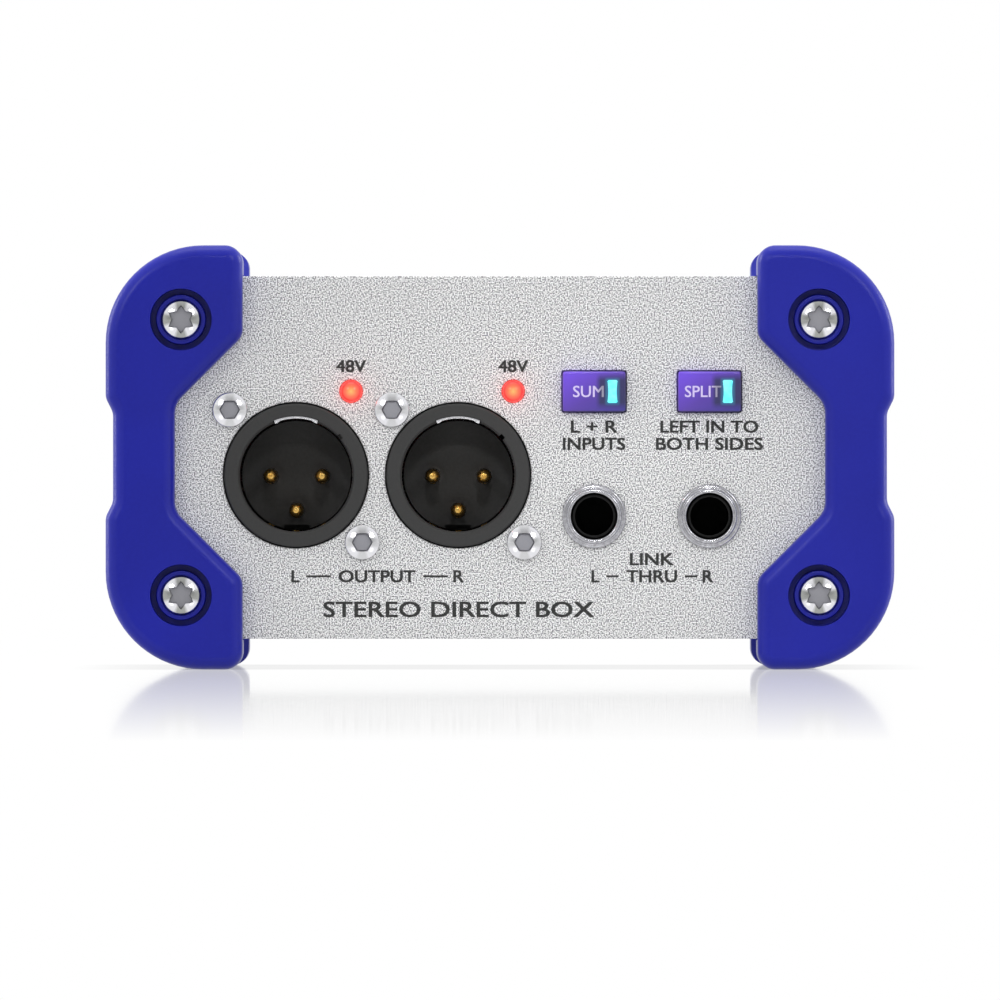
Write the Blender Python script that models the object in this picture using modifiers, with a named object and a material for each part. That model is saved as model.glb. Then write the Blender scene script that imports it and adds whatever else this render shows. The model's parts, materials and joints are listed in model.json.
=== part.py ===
"""A stereo direct injection box, built as its real pieces.

World axes: metres, +X to the right as one faces the front, +Y to the rear and +Z up. The origin is
the middle of the footprint, on the surface that the box stands on. What belongs to a panel is laid
out in that panel's own axes: u across and v up as one faces it, and w outwards from its face.
"""
import math

import bmesh
import bpy
from mathutils import Matrix, Vector

# Overall size, over the rubber bumpers
WIDTH = 0.1333
HEIGHT = 0.0717
DEPTH = 0.125

# Clearances
GAP = 0.0003  # between pieces that rest on each other
SMALL_GAP = 0.0001  # between small pieces held in one another
WELD = 0.00001
FLAT = math.radians(0.1)  # the most that the faces of one flat end may turn
OVERCUT = 0.002  # how far a cutter runs past the wall it cuts

# Bumpers: how far they stand out from the case, and the lobe and waist outline
BUMPER_RISE = 0.0052  # above and below the case
BUMPER_SIDE = 0.00535  # beside the case
BUMPER_PROUD = 0.005  # in front of the panels
LOBE_REACH = 0.02315  # from the outer side to the lobe's inner edge
WAIST_REACH = 0.0117
LOBE_RISE = 0.01535  # height of the straight part of the lobe's inner edge
LOBE_LENGTH = 0.021  # the same, seen from above, along the depth
WAIST_STEP = 0.00125  # depth of the shallow channel along the outer side
STEP_RISE = 0.0258  # height where that channel starts
STEP_RUN = 0.0025
CORNER_RADIUS = 0.0165
LOBE_RADIUS = 0.003
WAIST_RADIUS = 0.004
BUMPER_ROUND = 0.0016

# Case sleeve, panels and boards
SLEEVE_WALL = 0.0018
CASE_RADIUS = 0.008
PANEL_THICKNESS = 0.002
BOARD_THICKNESS = 0.0016
BOARD_RISE = 0.0118  # underside of the main board above the underside of the case
BOARD_END_GAP = 0.0015
SLOT_LIP = 0.002
SLOT_LIP_THICKNESS = 0.0012
SWITCH_BOARD_SET_BACK = 0.0125  # behind the panel's face
SWITCH_BOARD_MARGIN = 0.0055

# Bumper screws
SCREW_INSET = 0.01275  # from the outer side of the bumper
SCREW_DROP = 0.00735  # from the top and the underside of the case
SCREW_HEAD_RADIUS = 0.003275
SCREW_SHANK_RADIUS = 0.0017
SCREW_LENGTH = 0.014
SCREW_HOLE_RADIUS = 0.0021
SCREW_BOSS_WALL = 0.0022
SCREW_HEAD_HEIGHT = 0.0022
SCREW_SINK = 0.0002  # top of the head below the bumper's face
COLLAR_SLACK = 0.000225  # around the head
COLLAR_WALL = 0.0007
COLLAR_SINK = 0.0008
GROOVE_WIDTH = 0.00105
GROOVE_DEPTH = 0.0024
STAR_TIP = 0.0023
STAR_ROOT = 0.0015
STAR_DEPTH = 0.0012

# XLR connectors
XLR_BORE_RADIUS = 0.00955
XLR_RIM = 0.0028
XLR_PROUD = 0.001
XLR_CUP_DEPTH = 0.0155
XLR_INSERT_DEPTH = 0.006
XLR_SHOULDER = 0.00065
XLR_HOLE_GAP = 0.0003
XLR_MARGIN = 0.0081  # between the bumper's waist and the first shell
XLR_SPACING = 0.0007  # between the two bodies behind the panel
XLR_RISE = 0.0008  # between the main board and the shell's shoulder
XLR_FOOT_HALF_WIDTH = 0.010
XLR_SCREW_WALL = 0.00215
XLR_LUG_DEPTH = 0.008
XLR_SCREW_GAP = 0.00055  # between the shell and the screw head, along the diagonal
PIN_RADIUS = 0.0012
PIN_SPREAD = 0.00435
PIN_DROP = 0.0058
PIN_RECESS = 0.0015  # tip behind the shell's rim
PIN_TAIL = 0.003
PIN_LEG = 0.0009
KEY_WIDTH = 0.0044
KEY_FLOOR = 0.0084
SPRING_THICKNESS = 0.00035
SPRING_HALF_ANGLE = math.radians(22)
SPRING_LENGTH = 0.012
SPRING_SET_BACK = 0.001

# Hex-socket screws of the XLR connectors
XLR_SCREW_HEAD_RADIUS = 0.00295
XLR_SCREW_HEAD_HEIGHT = 0.0016
XLR_SCREW_SHANK_RADIUS = 0.0013
XLR_SCREW_HOLE_RADIUS = 0.0016
XLR_SCREW_LENGTH = 0.0095
HEX_HALF_FLATS = 0.00135
HEX_DEPTH = 0.0009

# Phantom-power lamps
LAMP_RADIUS = 0.00185
LAMP_FLANGE_RADIUS = 0.0023
LAMP_HOLE_GAP = 0.0003
LAMP_PROUD = 0.0015
LAMP_CLEAR = 0.00475  # from the XLR shell to the middle of the lamp
LAMP_ANGLE = math.radians(57)

# Push-buttons
BUTTON_WIDTH = 0.0106
BUTTON_HEIGHT = 0.00675
BUTTON_SLACK = 0.0002  # all round, in the panel's window
BUTTON_PROUD = 0.0022
BUTTON_TRAVEL = 0.002
BUTTON_FLANGE = 0.0009
BUTTON_FLANGE_THICKNESS = 0.0008
BUTTON_STEM = 0.003
BUTTON_STEM_LENGTH = 0.0049
BUTTON_ROUND = 0.0003
BUTTON_RISE = 0.0211  # above the jacks
WINDOW_ACROSS = 0.0031
WINDOW_WIDTH = 0.00175
WINDOW_HEIGHT = 0.0039
WINDOW_WAIST = 0.00125
WINDOW_DEPTH = 0.0012
SWITCH_HALF_WIDTH = 0.006
SWITCH_HALF_HEIGHT = 0.0042
SWITCH_SLACK = 0.0003  # around the stem
SWITCH_WALL = 0.0012

# Jacks
JACK_HEIGHT = 0.0207  # above the underside of the case
JACK_AFTER_XLR = 0.00224  # between the two bodies behind the panel
JACK_SPACING = 0.0195
JACK_BORE_RADIUS = 0.00325
JACK_SLEEVE_WALL = 0.0004
JACK_SLEEVE_SLACK = 0.00025  # between the sleeve and the ferrule
JACK_SLEEVE_PROUD = 0.0004
JACK_SPIGOT_WALL = 0.0005
JACK_STEP = 0.00025  # from the spigot out to the ferrule's step
JACK_FLANGE = 0.00075  # from the step out to the flange
JACK_FLANGE_THICKNESS = 0.0008
JACK_PROUD = 0.002
JACK_BODY_WALL = 0.00375  # around the sleeve
JACK_BODY_DEPTH = 0.028
JACK_BACK_WALL = 0.0015

# Rear panel
REAR_JACK_MARGIN = 0.0186  # from the bumper's waist to the first jack
REAR_JACK_SPACING = 0.022
REAR_BUTTON_MARGIN = 0.0125
REAR_BUTTON_SPACING = 0.018
MINI_AFTER_JACK = 0.018
MINI_RISE = 0.0038  # above the main board
MINI_HALF_WIDTH = 0.0055
MINI_BODY_DEPTH = 0.013
MINI_BORE_RADIUS = 0.0018
MINI_SLEEVE_WALL = 0.0011
MINI_NUT_WALL = 0.0011
MINI_NUT_THICKNESS = 0.0016
MINI_PROUD = 0.0022

# On the boards
CAPACITOR_RADIUS = 0.004
CAPACITOR_HEIGHT = 0.012
CAPACITOR_SPREAD = 0.022
CHIP_SIZE = (0.0099, 0.0064, 0.0034)
CHIP_SPREAD = 0.0085
HEADER_WIDTH = 0.0055
HEADER_DEPTH = 0.0025

# Worked out from the sizes above
CASE_HALF_WIDTH = WIDTH / 2 - BUMPER_SIDE
CASE_LOW = BUMPER_RISE
CASE_HIGH = HEIGHT - BUMPER_RISE
PANEL_FACE = DEPTH / 2 - BUMPER_PROUD
SLEEVE_START = PANEL_THICKNESS + GAP
BOARD_LOW = CASE_LOW + BOARD_RISE
BOARD_HIGH = BOARD_LOW + BOARD_THICKNESS
ON_BOARD = BOARD_HIGH + GAP
WAIST_HALF_WIDTH = WIDTH / 2 - WAIST_REACH
SCREW_U = WIDTH / 2 - SCREW_INSET
SCREW_V = (CASE_HIGH - SCREW_DROP, CASE_LOW + SCREW_DROP)
SCREW_BOSS = SCREW_HOLE_RADIUS + SCREW_BOSS_WALL
COLLAR_BORE = SCREW_HEAD_RADIUS + COLLAR_SLACK
COLLAR_RADIUS = COLLAR_BORE + COLLAR_WALL
XLR_SHELL_RADIUS = XLR_BORE_RADIUS + XLR_RIM
XLR_SCREW_OFFSET = (XLR_SHELL_RADIUS + XLR_SCREW_GAP + XLR_SCREW_HEAD_RADIUS) / math.sqrt(2)
XLR_HALF_WIDTH = XLR_SCREW_OFFSET + XLR_SCREW_WALL
XLR_V = ON_BOARD + XLR_RISE + XLR_SHELL_RADIUS + XLR_SHOULDER
XLR_U = [-WAIST_HALF_WIDTH + XLR_MARGIN + XLR_SHELL_RADIUS]
XLR_U.append(XLR_U[0] + 2 * XLR_HALF_WIDTH + XLR_SPACING)
XLR_BACK = XLR_PROUD - XLR_CUP_DEPTH - XLR_INSERT_DEPTH
LAMP_ACROSS = (XLR_SHELL_RADIUS + LAMP_CLEAR) * math.cos(LAMP_ANGLE)
LAMP_UP = (XLR_SHELL_RADIUS + LAMP_CLEAR) * math.sin(LAMP_ANGLE)
JACK_SLEEVE_RADIUS = JACK_BORE_RADIUS + JACK_SLEEVE_WALL
JACK_FERRULE_BORE = JACK_SLEEVE_RADIUS + JACK_SLEEVE_SLACK
JACK_SPIGOT_RADIUS = JACK_FERRULE_BORE + JACK_SPIGOT_WALL
JACK_STEP_RADIUS = JACK_SPIGOT_RADIUS + JACK_STEP
JACK_FLANGE_RADIUS = JACK_STEP_RADIUS + JACK_FLANGE
JACK_HALF_WIDTH = JACK_SLEEVE_RADIUS + JACK_BODY_WALL
JACK_V = CASE_LOW + JACK_HEIGHT
JACK_U = [XLR_U[1] + XLR_HALF_WIDTH + JACK_AFTER_XLR + JACK_HALF_WIDTH]
JACK_U.append(JACK_U[0] + JACK_SPACING)
BUTTON_V = JACK_V + BUTTON_RISE
REAR_JACK_U = [-WAIST_HALF_WIDTH + REAR_JACK_MARGIN]
REAR_JACK_U.append(REAR_JACK_U[0] + REAR_JACK_SPACING)
REAR_BUTTON_U = [WAIST_HALF_WIDTH - REAR_BUTTON_MARGIN - REAR_BUTTON_SPACING]
REAR_BUTTON_U.append(REAR_BUTTON_U[0] + REAR_BUTTON_SPACING)
MINI_U = REAR_JACK_U[1] + MINI_AFTER_JACK
MINI_V = BOARD_HIGH + MINI_RISE
MINI_SLEEVE_RADIUS = MINI_BORE_RADIUS + MINI_SLEEVE_WALL
MINI_NUT_RADIUS = MINI_SLEEVE_RADIUS + SMALL_GAP + MINI_NUT_WALL
SWITCH_FACE = -(PANEL_THICKNESS + GAP + BUTTON_FLANGE_THICKNESS + BUTTON_TRAVEL + GAP)

FINISHES = {  # linear colour, roughness, metallic
    "rubber": ((0.022, 0.028, 0.30), 0.55, 0.0),
    "grained_silver": ((0.62, 0.62, 0.62), 0.5, 0.6),
    "chrome": ((0.8, 0.8, 0.8), 0.15, 1.0),
    "gold": ((0.72, 0.48, 0.16), 0.25, 1.0),
    "black_plastic": ((0.012, 0.012, 0.012), 0.5, 0.0),
    "grey_plastic": ((0.045, 0.045, 0.045), 0.45, 0.0),
    "violet_plastic": ((0.15, 0.07, 0.55), 0.35, 0.0),
    "cyan_window": ((0.2, 0.95, 1.0), 0.2, 0.0),
    "red_lens": ((0.9, 0.06, 0.04), 0.2, 0.0),
    "board": ((0.01, 0.09, 0.03), 0.5, 0.0),
    "aluminium_can": ((0.5, 0.5, 0.52), 0.35, 0.8),
}


def new_collection(name):
    collection = bpy.data.collections.new(name)
    bpy.context.scene.collection.children.link(collection)
    return collection


def make_finish(name):
    colour, roughness, metallic = FINISHES[name]
    material = bpy.data.materials.new(name)
    material.use_nodes = True
    shader = material.node_tree.nodes["Principled BSDF"]
    shader.inputs["Base Color"].default_value = (*colour, 1)
    shader.inputs["Roughness"].default_value = roughness
    shader.inputs["Metallic"].default_value = metallic
    return material


def add(name, shape, finish, location, datum):
    """A new object in the parts collection, from a bmesh."""
    mesh = bpy.data.meshes.new(name)
    shape.to_mesh(mesh)
    shape.free()
    part = bpy.data.objects.new(name, mesh)
    part.location = location
    part.parent = datum
    PARTS.objects.link(part)
    if finish:
        mesh.materials.append(MATERIALS[finish])
    return part


def block(name, low, high, finish=None, datum=None):
    """A box from its lowest to its highest corner."""
    low, high = Vector(low), Vector(high)
    shape = bmesh.new()
    bmesh.ops.create_cube(shape, size=1, matrix=Matrix.Diagonal((*(high - low), 1)))
    return add(name, shape, finish, (low + high) / 2, datum)


def turned(name, profile, centre, finish=None, datum=None, sides=24):
    """A solid of revolution about w, from (radius, w) points that run down its outer side."""
    shape = bmesh.new()
    points = [shape.verts.new((radius, 0, w)) for radius, w in profile]
    for first, second in zip(points, points[1:]):
        shape.edges.new((first, second))
    if profile[0][0] > 0:
        shape.edges.new((points[-1], points[0]))
    part = add(name, shape, finish, (*centre, 0), datum)
    screw = part.modifiers.new("Turn", "SCREW")
    screw.steps = screw.render_steps = sides
    screw.use_merge_vertices = True
    screw.merge_threshold = WELD
    return part


def rod(name, radius, low, high, centre, finish=None, datum=None, sides=24):
    return turned(name, [(0, high), (radius, high), (radius, low), (0, low)], centre, finish, datum, sides)


def circle(centre, radius, sides):
    turn = 2 * math.pi / sides
    return [
        (centre[0] + radius * math.cos(turn * i), centre[1] + radius * math.sin(turn * i))
        for i in range(sides)
    ]


def rectangle(centre, half_width, half_height):
    u, v = centre
    return [
        (u - half_width, v - half_height),
        (u + half_width, v - half_height),
        (u + half_width, v + half_height),
        (u - half_width, v + half_height),
    ]


def rounded(corners, step=math.radians(15)):
    """The points of a closed outline, from its corners as (u, v, radius)."""
    points = []
    for index, (u, v, radius) in enumerate(corners):
        corner = Vector((u, v))
        if radius == 0:
            points.append(corner)
            continue
        before = (Vector(corners[index - 1][:2]) - corner).normalized()
        after = (Vector(corners[(index + 1) % len(corners)][:2]) - corner).normalized()
        half = before.angle(after) / 2
        centre = corner + (before + after).normalized() * radius / math.sin(half)
        spoke = corner + before * radius / math.tan(half) - centre
        sweep = math.copysign(math.pi - 2 * half, after.cross(before))
        count = max(1, round(abs(sweep) / step))
        points += [centre + Matrix.Rotation(sweep * i / count, 2) @ spoke for i in range(count + 1)]
    return points


def prism(name, outlines, low, high, finish=None, datum=None):
    """A flat outline, with any holes after it, made solid from low to high."""
    flat = bpy.data.curves.new(name, "CURVE")
    flat.dimensions = "2D"
    flat.fill_mode = "BOTH"
    flat.extrude = (high - low) / 2
    for outline in outlines:
        spline = flat.splines.new("POLY")
        spline.points.add(len(outline) - 1)
        for point, (u, v) in zip(spline.points, outline):
            point.co = (u, v, 0, 1)
        spline.use_cyclic_u = True
    source = bpy.data.objects.new(name, flat)
    PARTS.objects.link(source)
    mesh = bpy.data.meshes.new_from_object(source.evaluated_get(bpy.context.evaluated_depsgraph_get()))
    bpy.data.objects.remove(source)
    bpy.data.curves.remove(flat)
    shape = bmesh.new()
    shape.from_mesh(mesh)
    bpy.data.meshes.remove(mesh)
    bmesh.ops.remove_doubles(shape, verts=shape.verts, dist=WELD)
    bmesh.ops.recalc_face_normals(shape, faces=shape.faces)
    if len(outlines) == 1:
        bmesh.ops.dissolve_limit(shape, angle_limit=FLAT, verts=shape.verts, edges=shape.edges)
    return add(name, shape, finish, (0, 0, (low + high) / 2), datum)


def combine(part, operation, *tools):
    """Boolean modifiers on the part, one for each tool, which becomes a hidden cutter."""
    for tool in tools:
        boolean = part.modifiers.new(tool.name, "BOOLEAN")
        boolean.operation = operation
        boolean.object = tool
        PARTS.objects.unlink(tool)
        CUTTERS.objects.link(tool)
        tool.hide_render = True
        tool.display_type = "WIRE"


def bevel(part, width, segments):
    modifier = part.modifiers.new("Edges", "BEVEL")
    modifier.width = width
    modifier.segments = segments
    modifier.limit_method = "ANGLE"
    modifier.angle_limit = math.radians(32)
    modifier.use_clamp_overlap = False


def datum_frame(name, face, turn):
    """An empty on a panel's face, with its axes along u, v and w."""
    datum = bpy.data.objects.new(name, None)
    datum.location = (0, face, 0)
    datum.rotation_euler = (math.pi / 2, 0, turn)
    PARTS.objects.link(datum)
    return datum


def screw_places():
    """Where the four bumper screws of a panel sit."""
    return [(side * SCREW_U, v) for side in (-1, 1) for v in SCREW_V]


def case_outline(grow=0.0):
    half_width = CASE_HALF_WIDTH + grow
    low, high = CASE_LOW - grow, CASE_HIGH + grow
    radius = CASE_RADIUS + grow
    return rounded([
        (-half_width, low, radius),
        (half_width, low, radius),
        (half_width, high, radius),
        (-half_width, high, radius),
    ])


def make_sleeve():
    """The extruded case: walls, four screw bosses, and lips that hold the main board."""
    wall_u = CASE_HALF_WIDTH - SLEEVE_WALL
    floor, roof = CASE_LOW + SLEEVE_WALL, CASE_HIGH - SLEEVE_WALL
    boss_u = SCREW_U - SCREW_BOSS
    boss_low = SCREW_V[0] - SCREW_BOSS
    lip_u = wall_u - SLOT_LIP
    lip_low = BOARD_HIGH + GAP
    lip_high = lip_low + SLOT_LIP_THICKNESS
    board_seat = BOARD_LOW - GAP
    right = [
        (boss_u, floor),
        (boss_u, board_seat),
        (wall_u, board_seat),
        (wall_u, lip_low),
        (lip_u, lip_low),
        (lip_u, lip_high),
        (wall_u, lip_high),
        (wall_u, boss_low),
        (boss_u, boss_low),
        (boss_u, roof),
    ]
    left = [(-u, v) for u, v in reversed(right)]
    holes = [circle(place, SCREW_HOLE_RADIUS, 16) for place in screw_places()]
    length = 2 * PANEL_FACE - 2 * SLEEVE_START
    outlines = [case_outline(), right + left, *holes]
    prism("case_sleeve", outlines, -SLEEVE_START - length, -SLEEVE_START, "grained_silver", FRONT)


def make_panel(name, holes, datum):
    screws = [circle(place, SCREW_HOLE_RADIUS, 16) for place in screw_places()]
    prism(name, [case_outline(), *screws, *holes], -PANEL_THICKNESS, 0, "grained_silver", datum)


def make_panels():
    window = (BUTTON_WIDTH / 2 + BUTTON_SLACK, BUTTON_HEIGHT / 2 + BUTTON_SLACK)
    jack_hole = JACK_SPIGOT_RADIUS + GAP
    front = []
    for u in XLR_U:
        front.append(circle((u, XLR_V), XLR_SHELL_RADIUS + XLR_HOLE_GAP, 32))
        front.append(circle((u + LAMP_ACROSS, XLR_V + LAMP_UP), LAMP_RADIUS + LAMP_HOLE_GAP, 16))
        for side in (-1, 1):
            place = (u + side * XLR_SCREW_OFFSET, XLR_V - side * XLR_SCREW_OFFSET)
            front.append(circle(place, XLR_SCREW_HOLE_RADIUS, 12))
    for u in JACK_U:
        front.append(circle((u, JACK_V), jack_hole, 24))
        front.append(rectangle((u, BUTTON_V), *window))
    make_panel("front_panel", front, FRONT)
    rear = [circle((u, JACK_V), jack_hole, 24) for u in REAR_JACK_U]
    rear += [rectangle((u, JACK_V), *window) for u in REAR_BUTTON_U]
    rear.append(circle((MINI_U, MINI_V), MINI_SLEEVE_RADIUS + GAP, 16))
    make_panel("rear_panel", rear, REAR)


def make_bumper(name, side):
    """A moulded rubber bumper: lobes and waist in front and plan, hollowed to fit the case."""
    outer = WIDTH / 2
    lobe, waist = outer - LOBE_REACH, outer - WAIST_REACH
    slope = LOBE_REACH - WAIST_REACH
    channel = outer - WAIST_STEP
    lower_half = [
        (waist, LOBE_RISE + slope, WAIST_RADIUS),
        (lobe, LOBE_RISE, LOBE_RADIUS),
        (lobe, 0, LOBE_RADIUS),
        (outer, 0, CORNER_RADIUS),
        (outer, STEP_RISE, 0),
        (channel, STEP_RISE + STEP_RUN, 0),
    ]
    upper_half = [(u, HEIGHT - v, radius) for u, v, radius in reversed(lower_half)]
    outline = [(side * u, v, radius) for u, v, radius in lower_half + upper_half]
    bumper = prism(name, [rounded(outline)], -2 * PANEL_FACE - BUMPER_PROUD, BUMPER_PROUD, "rubber", FRONT)
    bevel(bumper, BUMPER_ROUND, 2)

    inner = lobe - OVERCUT
    near = DEPTH / 2 - LOBE_LENGTH
    bay = [
        (inner, -near - OVERCUT, 0),
        (waist, slope - near, WAIST_RADIUS),
        (waist, near - slope, WAIST_RADIUS),
        (inner, near + OVERCUT, 0),
    ]
    bay_outline = rounded([(side * u, v, radius) for u, v, radius in bay])
    combine(bumper, "DIFFERENCE", prism(name + "_bay", [bay_outline], -OVERCUT, HEIGHT + OVERCUT))

    pocket = prism(name + "_pocket", [case_outline(GAP)], -2 * PANEL_FACE - GAP, GAP, None, FRONT)
    combine(bumper, "DIFFERENCE", pocket)
    for panel, datum in (("front", FRONT), ("rear", REAR)):
        for place in screw_places():
            if (place[0] > 0) == (side * DATUM_SIDE[panel] > 0):
                cut_screw_seat(bumper, f"{name}_{panel}_{place[1]:.3f}", place, datum)


def cut_screw_seat(bumper, name, place, datum):
    """A bore for the screw head inside a collar, with a groove around the collar."""
    face = BUMPER_PROUD
    collar = face - COLLAR_SINK
    floor = face - GROOVE_DEPTH
    seat = face - SCREW_SINK - SCREW_HEAD_HEIGHT - GAP
    rim = COLLAR_RADIUS + GROOVE_WIDTH
    profile = [
        (0, face + OVERCUT),
        (rim, face + OVERCUT),
        (rim, floor),
        (COLLAR_RADIUS, floor),
        (COLLAR_RADIUS, collar),
        (COLLAR_BORE, collar),
        (COLLAR_BORE, seat),
        (SCREW_HOLE_RADIUS, seat),
        (SCREW_HOLE_RADIUS, -OVERCUT),
        (0, -OVERCUT),
    ]
    combine(bumper, "DIFFERENCE", turned(name, profile, place, datum=datum, sides=16))


def make_bumper_screw(name, place, datum):
    top = BUMPER_PROUD - SCREW_SINK
    base = top - SCREW_HEAD_HEIGHT
    screw = turned(
        name,
        [
            (0, top),
            (SCREW_HEAD_RADIUS * 0.7, top - SCREW_HEAD_HEIGHT * 0.16),
            (SCREW_HEAD_RADIUS, top - SCREW_HEAD_HEIGHT * 0.6),
            (SCREW_HEAD_RADIUS, base),
            (SCREW_SHANK_RADIUS, base),
            (SCREW_SHANK_RADIUS, base - SCREW_LENGTH),
            (0, base - SCREW_LENGTH),
        ],
        place,
        "chrome",
        datum,
        sides=16,
    )
    star = []
    for i in range(12):
        radius = STAR_ROOT if i % 2 else STAR_TIP
        angle = math.pi / 2 + math.pi / 6 * i
        star.append((place[0] + radius * math.cos(angle), place[1] + radius * math.sin(angle)))
    recess = prism(name + "_star", [star], top - STAR_DEPTH, top + OVERCUT, None, datum)
    combine(screw, "DIFFERENCE", recess)


def make_bumper_screws():
    for panel, datum in (("front", FRONT), ("rear", REAR)):
        for place in screw_places():
            across = "right" if place[0] * DATUM_SIDE[panel] > 0 else "left"
            up = "upper" if place[1] == SCREW_V[0] else "lower"
            make_bumper_screw(f"bumper_screw_{panel}_{up}_{across}", place, datum)


def make_xlr(side, u):
    """A male chassis connector: shell, insert, three pins, ground spring and two screws."""
    name = f"xlr_{side}"
    centre = (u, XLR_V)
    behind = -PANEL_THICKNESS - GAP
    shoulder = XLR_SHELL_RADIUS + XLR_SHOULDER
    floor = XLR_PROUD - XLR_CUP_DEPTH
    shell = turned(
        name + "_shell",
        [
            (0, XLR_PROUD),
            (XLR_SHELL_RADIUS, XLR_PROUD),
            (XLR_SHELL_RADIUS, behind),
            (shoulder, behind),
            (shoulder, XLR_BACK),
            (0, XLR_BACK),
        ],
        centre,
        "grey_plastic",
        FRONT,
        sides=32,
    )
    foot = block(
        name + "_foot",
        (u - XLR_FOOT_HALF_WIDTH, ON_BOARD, XLR_BACK),
        (u + XLR_FOOT_HALF_WIDTH, XLR_V, behind),
        datum=FRONT,
    )
    combine(shell, "UNION", foot)
    for end in (-1, 1):
        near = (u, XLR_V)
        far = (u + end * XLR_HALF_WIDTH, XLR_V - end * XLR_HALF_WIDTH)
        low = [min(a, b) for a, b in zip(near, far)]
        high = [max(a, b) for a, b in zip(near, far)]
        lug = block(f"{name}_lug_{end}", (*low, behind - XLR_LUG_DEPTH), (*high, behind), datum=FRONT)
        combine(shell, "UNION", lug)
    bore = rod(
        name + "_bore", XLR_BORE_RADIUS, XLR_BACK - OVERCUT, XLR_PROUD + OVERCUT, centre, None, FRONT, 32
    )
    combine(shell, "DIFFERENCE", bore)
    for end, label in ((-1, "upper"), (1, "lower")):
        place = (u + end * XLR_SCREW_OFFSET, XLR_V - end * XLR_SCREW_OFFSET)
        hole = rod(
            f"{name}_hole_{label}", XLR_SCREW_HOLE_RADIUS, -XLR_SCREW_LENGTH - OVERCUT, OVERCUT, place,
            datum=FRONT, sides=12,
        )
        combine(shell, "DIFFERENCE", hole)
        make_xlr_screw(f"{name}_screw_{label}", place)

    insert_radius = XLR_BORE_RADIUS - 2 * SMALL_GAP
    insert = rod(name + "_insert", insert_radius, XLR_BACK, floor, centre, "black_plastic", FRONT, 32)
    key = block(
        name + "_key",
        (u - KEY_WIDTH / 2, XLR_V - XLR_BORE_RADIUS - OVERCUT, XLR_BACK - OVERCUT),
        (u + KEY_WIDTH / 2, XLR_V - KEY_FLOOR, floor + OVERCUT),
        datum=FRONT,
    )
    combine(insert, "DIFFERENCE", key)
    pins = ((1, PIN_SPREAD, 0), (2, -PIN_SPREAD, 0), (3, 0, -PIN_DROP))
    for number, across, up in pins:
        place = (u + across, XLR_V + up)
        hole = rod(
            f"{name}_pin_hole_{number}", PIN_RADIUS + SMALL_GAP, XLR_BACK - OVERCUT, floor + OVERCUT, place,
            datum=FRONT, sides=12,
        )
        combine(insert, "DIFFERENCE", hole)
        make_pin(f"{name}_pin_{number}", place)

    outer = XLR_BORE_RADIUS - 2.5 * SMALL_GAP
    angles = [math.pi / 2 + SPRING_HALF_ANGLE * (i / 4 - 1) for i in range(9)]
    band = [(outer, angle) for angle in angles]
    band += [(outer - SPRING_THICKNESS, angle) for angle in reversed(angles)]
    outline = [(u + radius * math.cos(angle), XLR_V + radius * math.sin(angle)) for radius, angle in band]
    front = XLR_PROUD - SPRING_SET_BACK
    prism(name + "_ground_spring", [outline], front - SPRING_LENGTH, front, "chrome", FRONT)


def make_pin(name, place):
    """A round contact with a leg that drops to the main board."""
    tip = XLR_PROUD - PIN_RECESS
    back = XLR_BACK - PIN_TAIL
    pin = turned(
        name,
        [
            (0, tip),
            (PIN_RADIUS * 0.6, tip - PIN_RADIUS * 0.15),
            (PIN_RADIUS, tip - PIN_RADIUS * 0.8),
            (PIN_RADIUS, back),
            (0, back),
        ],
        place,
        "gold",
        FRONT,
        sides=12,
    )
    leg = block(
        name + "_leg",
        (place[0] - PIN_LEG / 2, ON_BOARD, back + PIN_LEG / 2),
        (place[0] + PIN_LEG / 2, place[1], back + PIN_LEG * 1.5),
        datum=FRONT,
    )
    combine(pin, "UNION", leg)


def make_xlr_screw(name, place):
    top = GAP + XLR_SCREW_HEAD_HEIGHT
    screw = turned(
        name,
        [
            (0, top),
            (XLR_SCREW_HEAD_RADIUS * 0.6, top),
            (XLR_SCREW_HEAD_RADIUS, GAP + XLR_SCREW_HEAD_HEIGHT * 0.25),
            (XLR_SCREW_HEAD_RADIUS, GAP),
            (XLR_SCREW_SHANK_RADIUS, GAP),
            (XLR_SCREW_SHANK_RADIUS, -XLR_SCREW_LENGTH),
            (0, -XLR_SCREW_LENGTH),
        ],
        place,
        "chrome",
        FRONT,
        sides=16,
    )
    hexagon = circle(place, HEX_HALF_FLATS / math.cos(math.pi / 6), 6)
    socket = prism(name + "_hex", [hexagon], top - HEX_DEPTH, top + OVERCUT, None, FRONT)
    combine(screw, "DIFFERENCE", socket)


def make_lamp(side, u):
    back = -SWITCH_BOARD_SET_BACK + GAP
    flange = back + 0.001
    turned(
        f"lamp_{side}",
        [
            (0, LAMP_PROUD),
            (LAMP_RADIUS * 0.7, LAMP_PROUD - LAMP_RADIUS * 0.3),
            (LAMP_RADIUS, LAMP_PROUD - LAMP_RADIUS),
            (LAMP_RADIUS, flange),
            (LAMP_FLANGE_RADIUS, flange),
            (LAMP_FLANGE_RADIUS, back),
            (0, back),
        ],
        (u + LAMP_ACROSS, XLR_V + LAMP_UP),
        "red_lens",
        FRONT,
        sides=16,
    )


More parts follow.
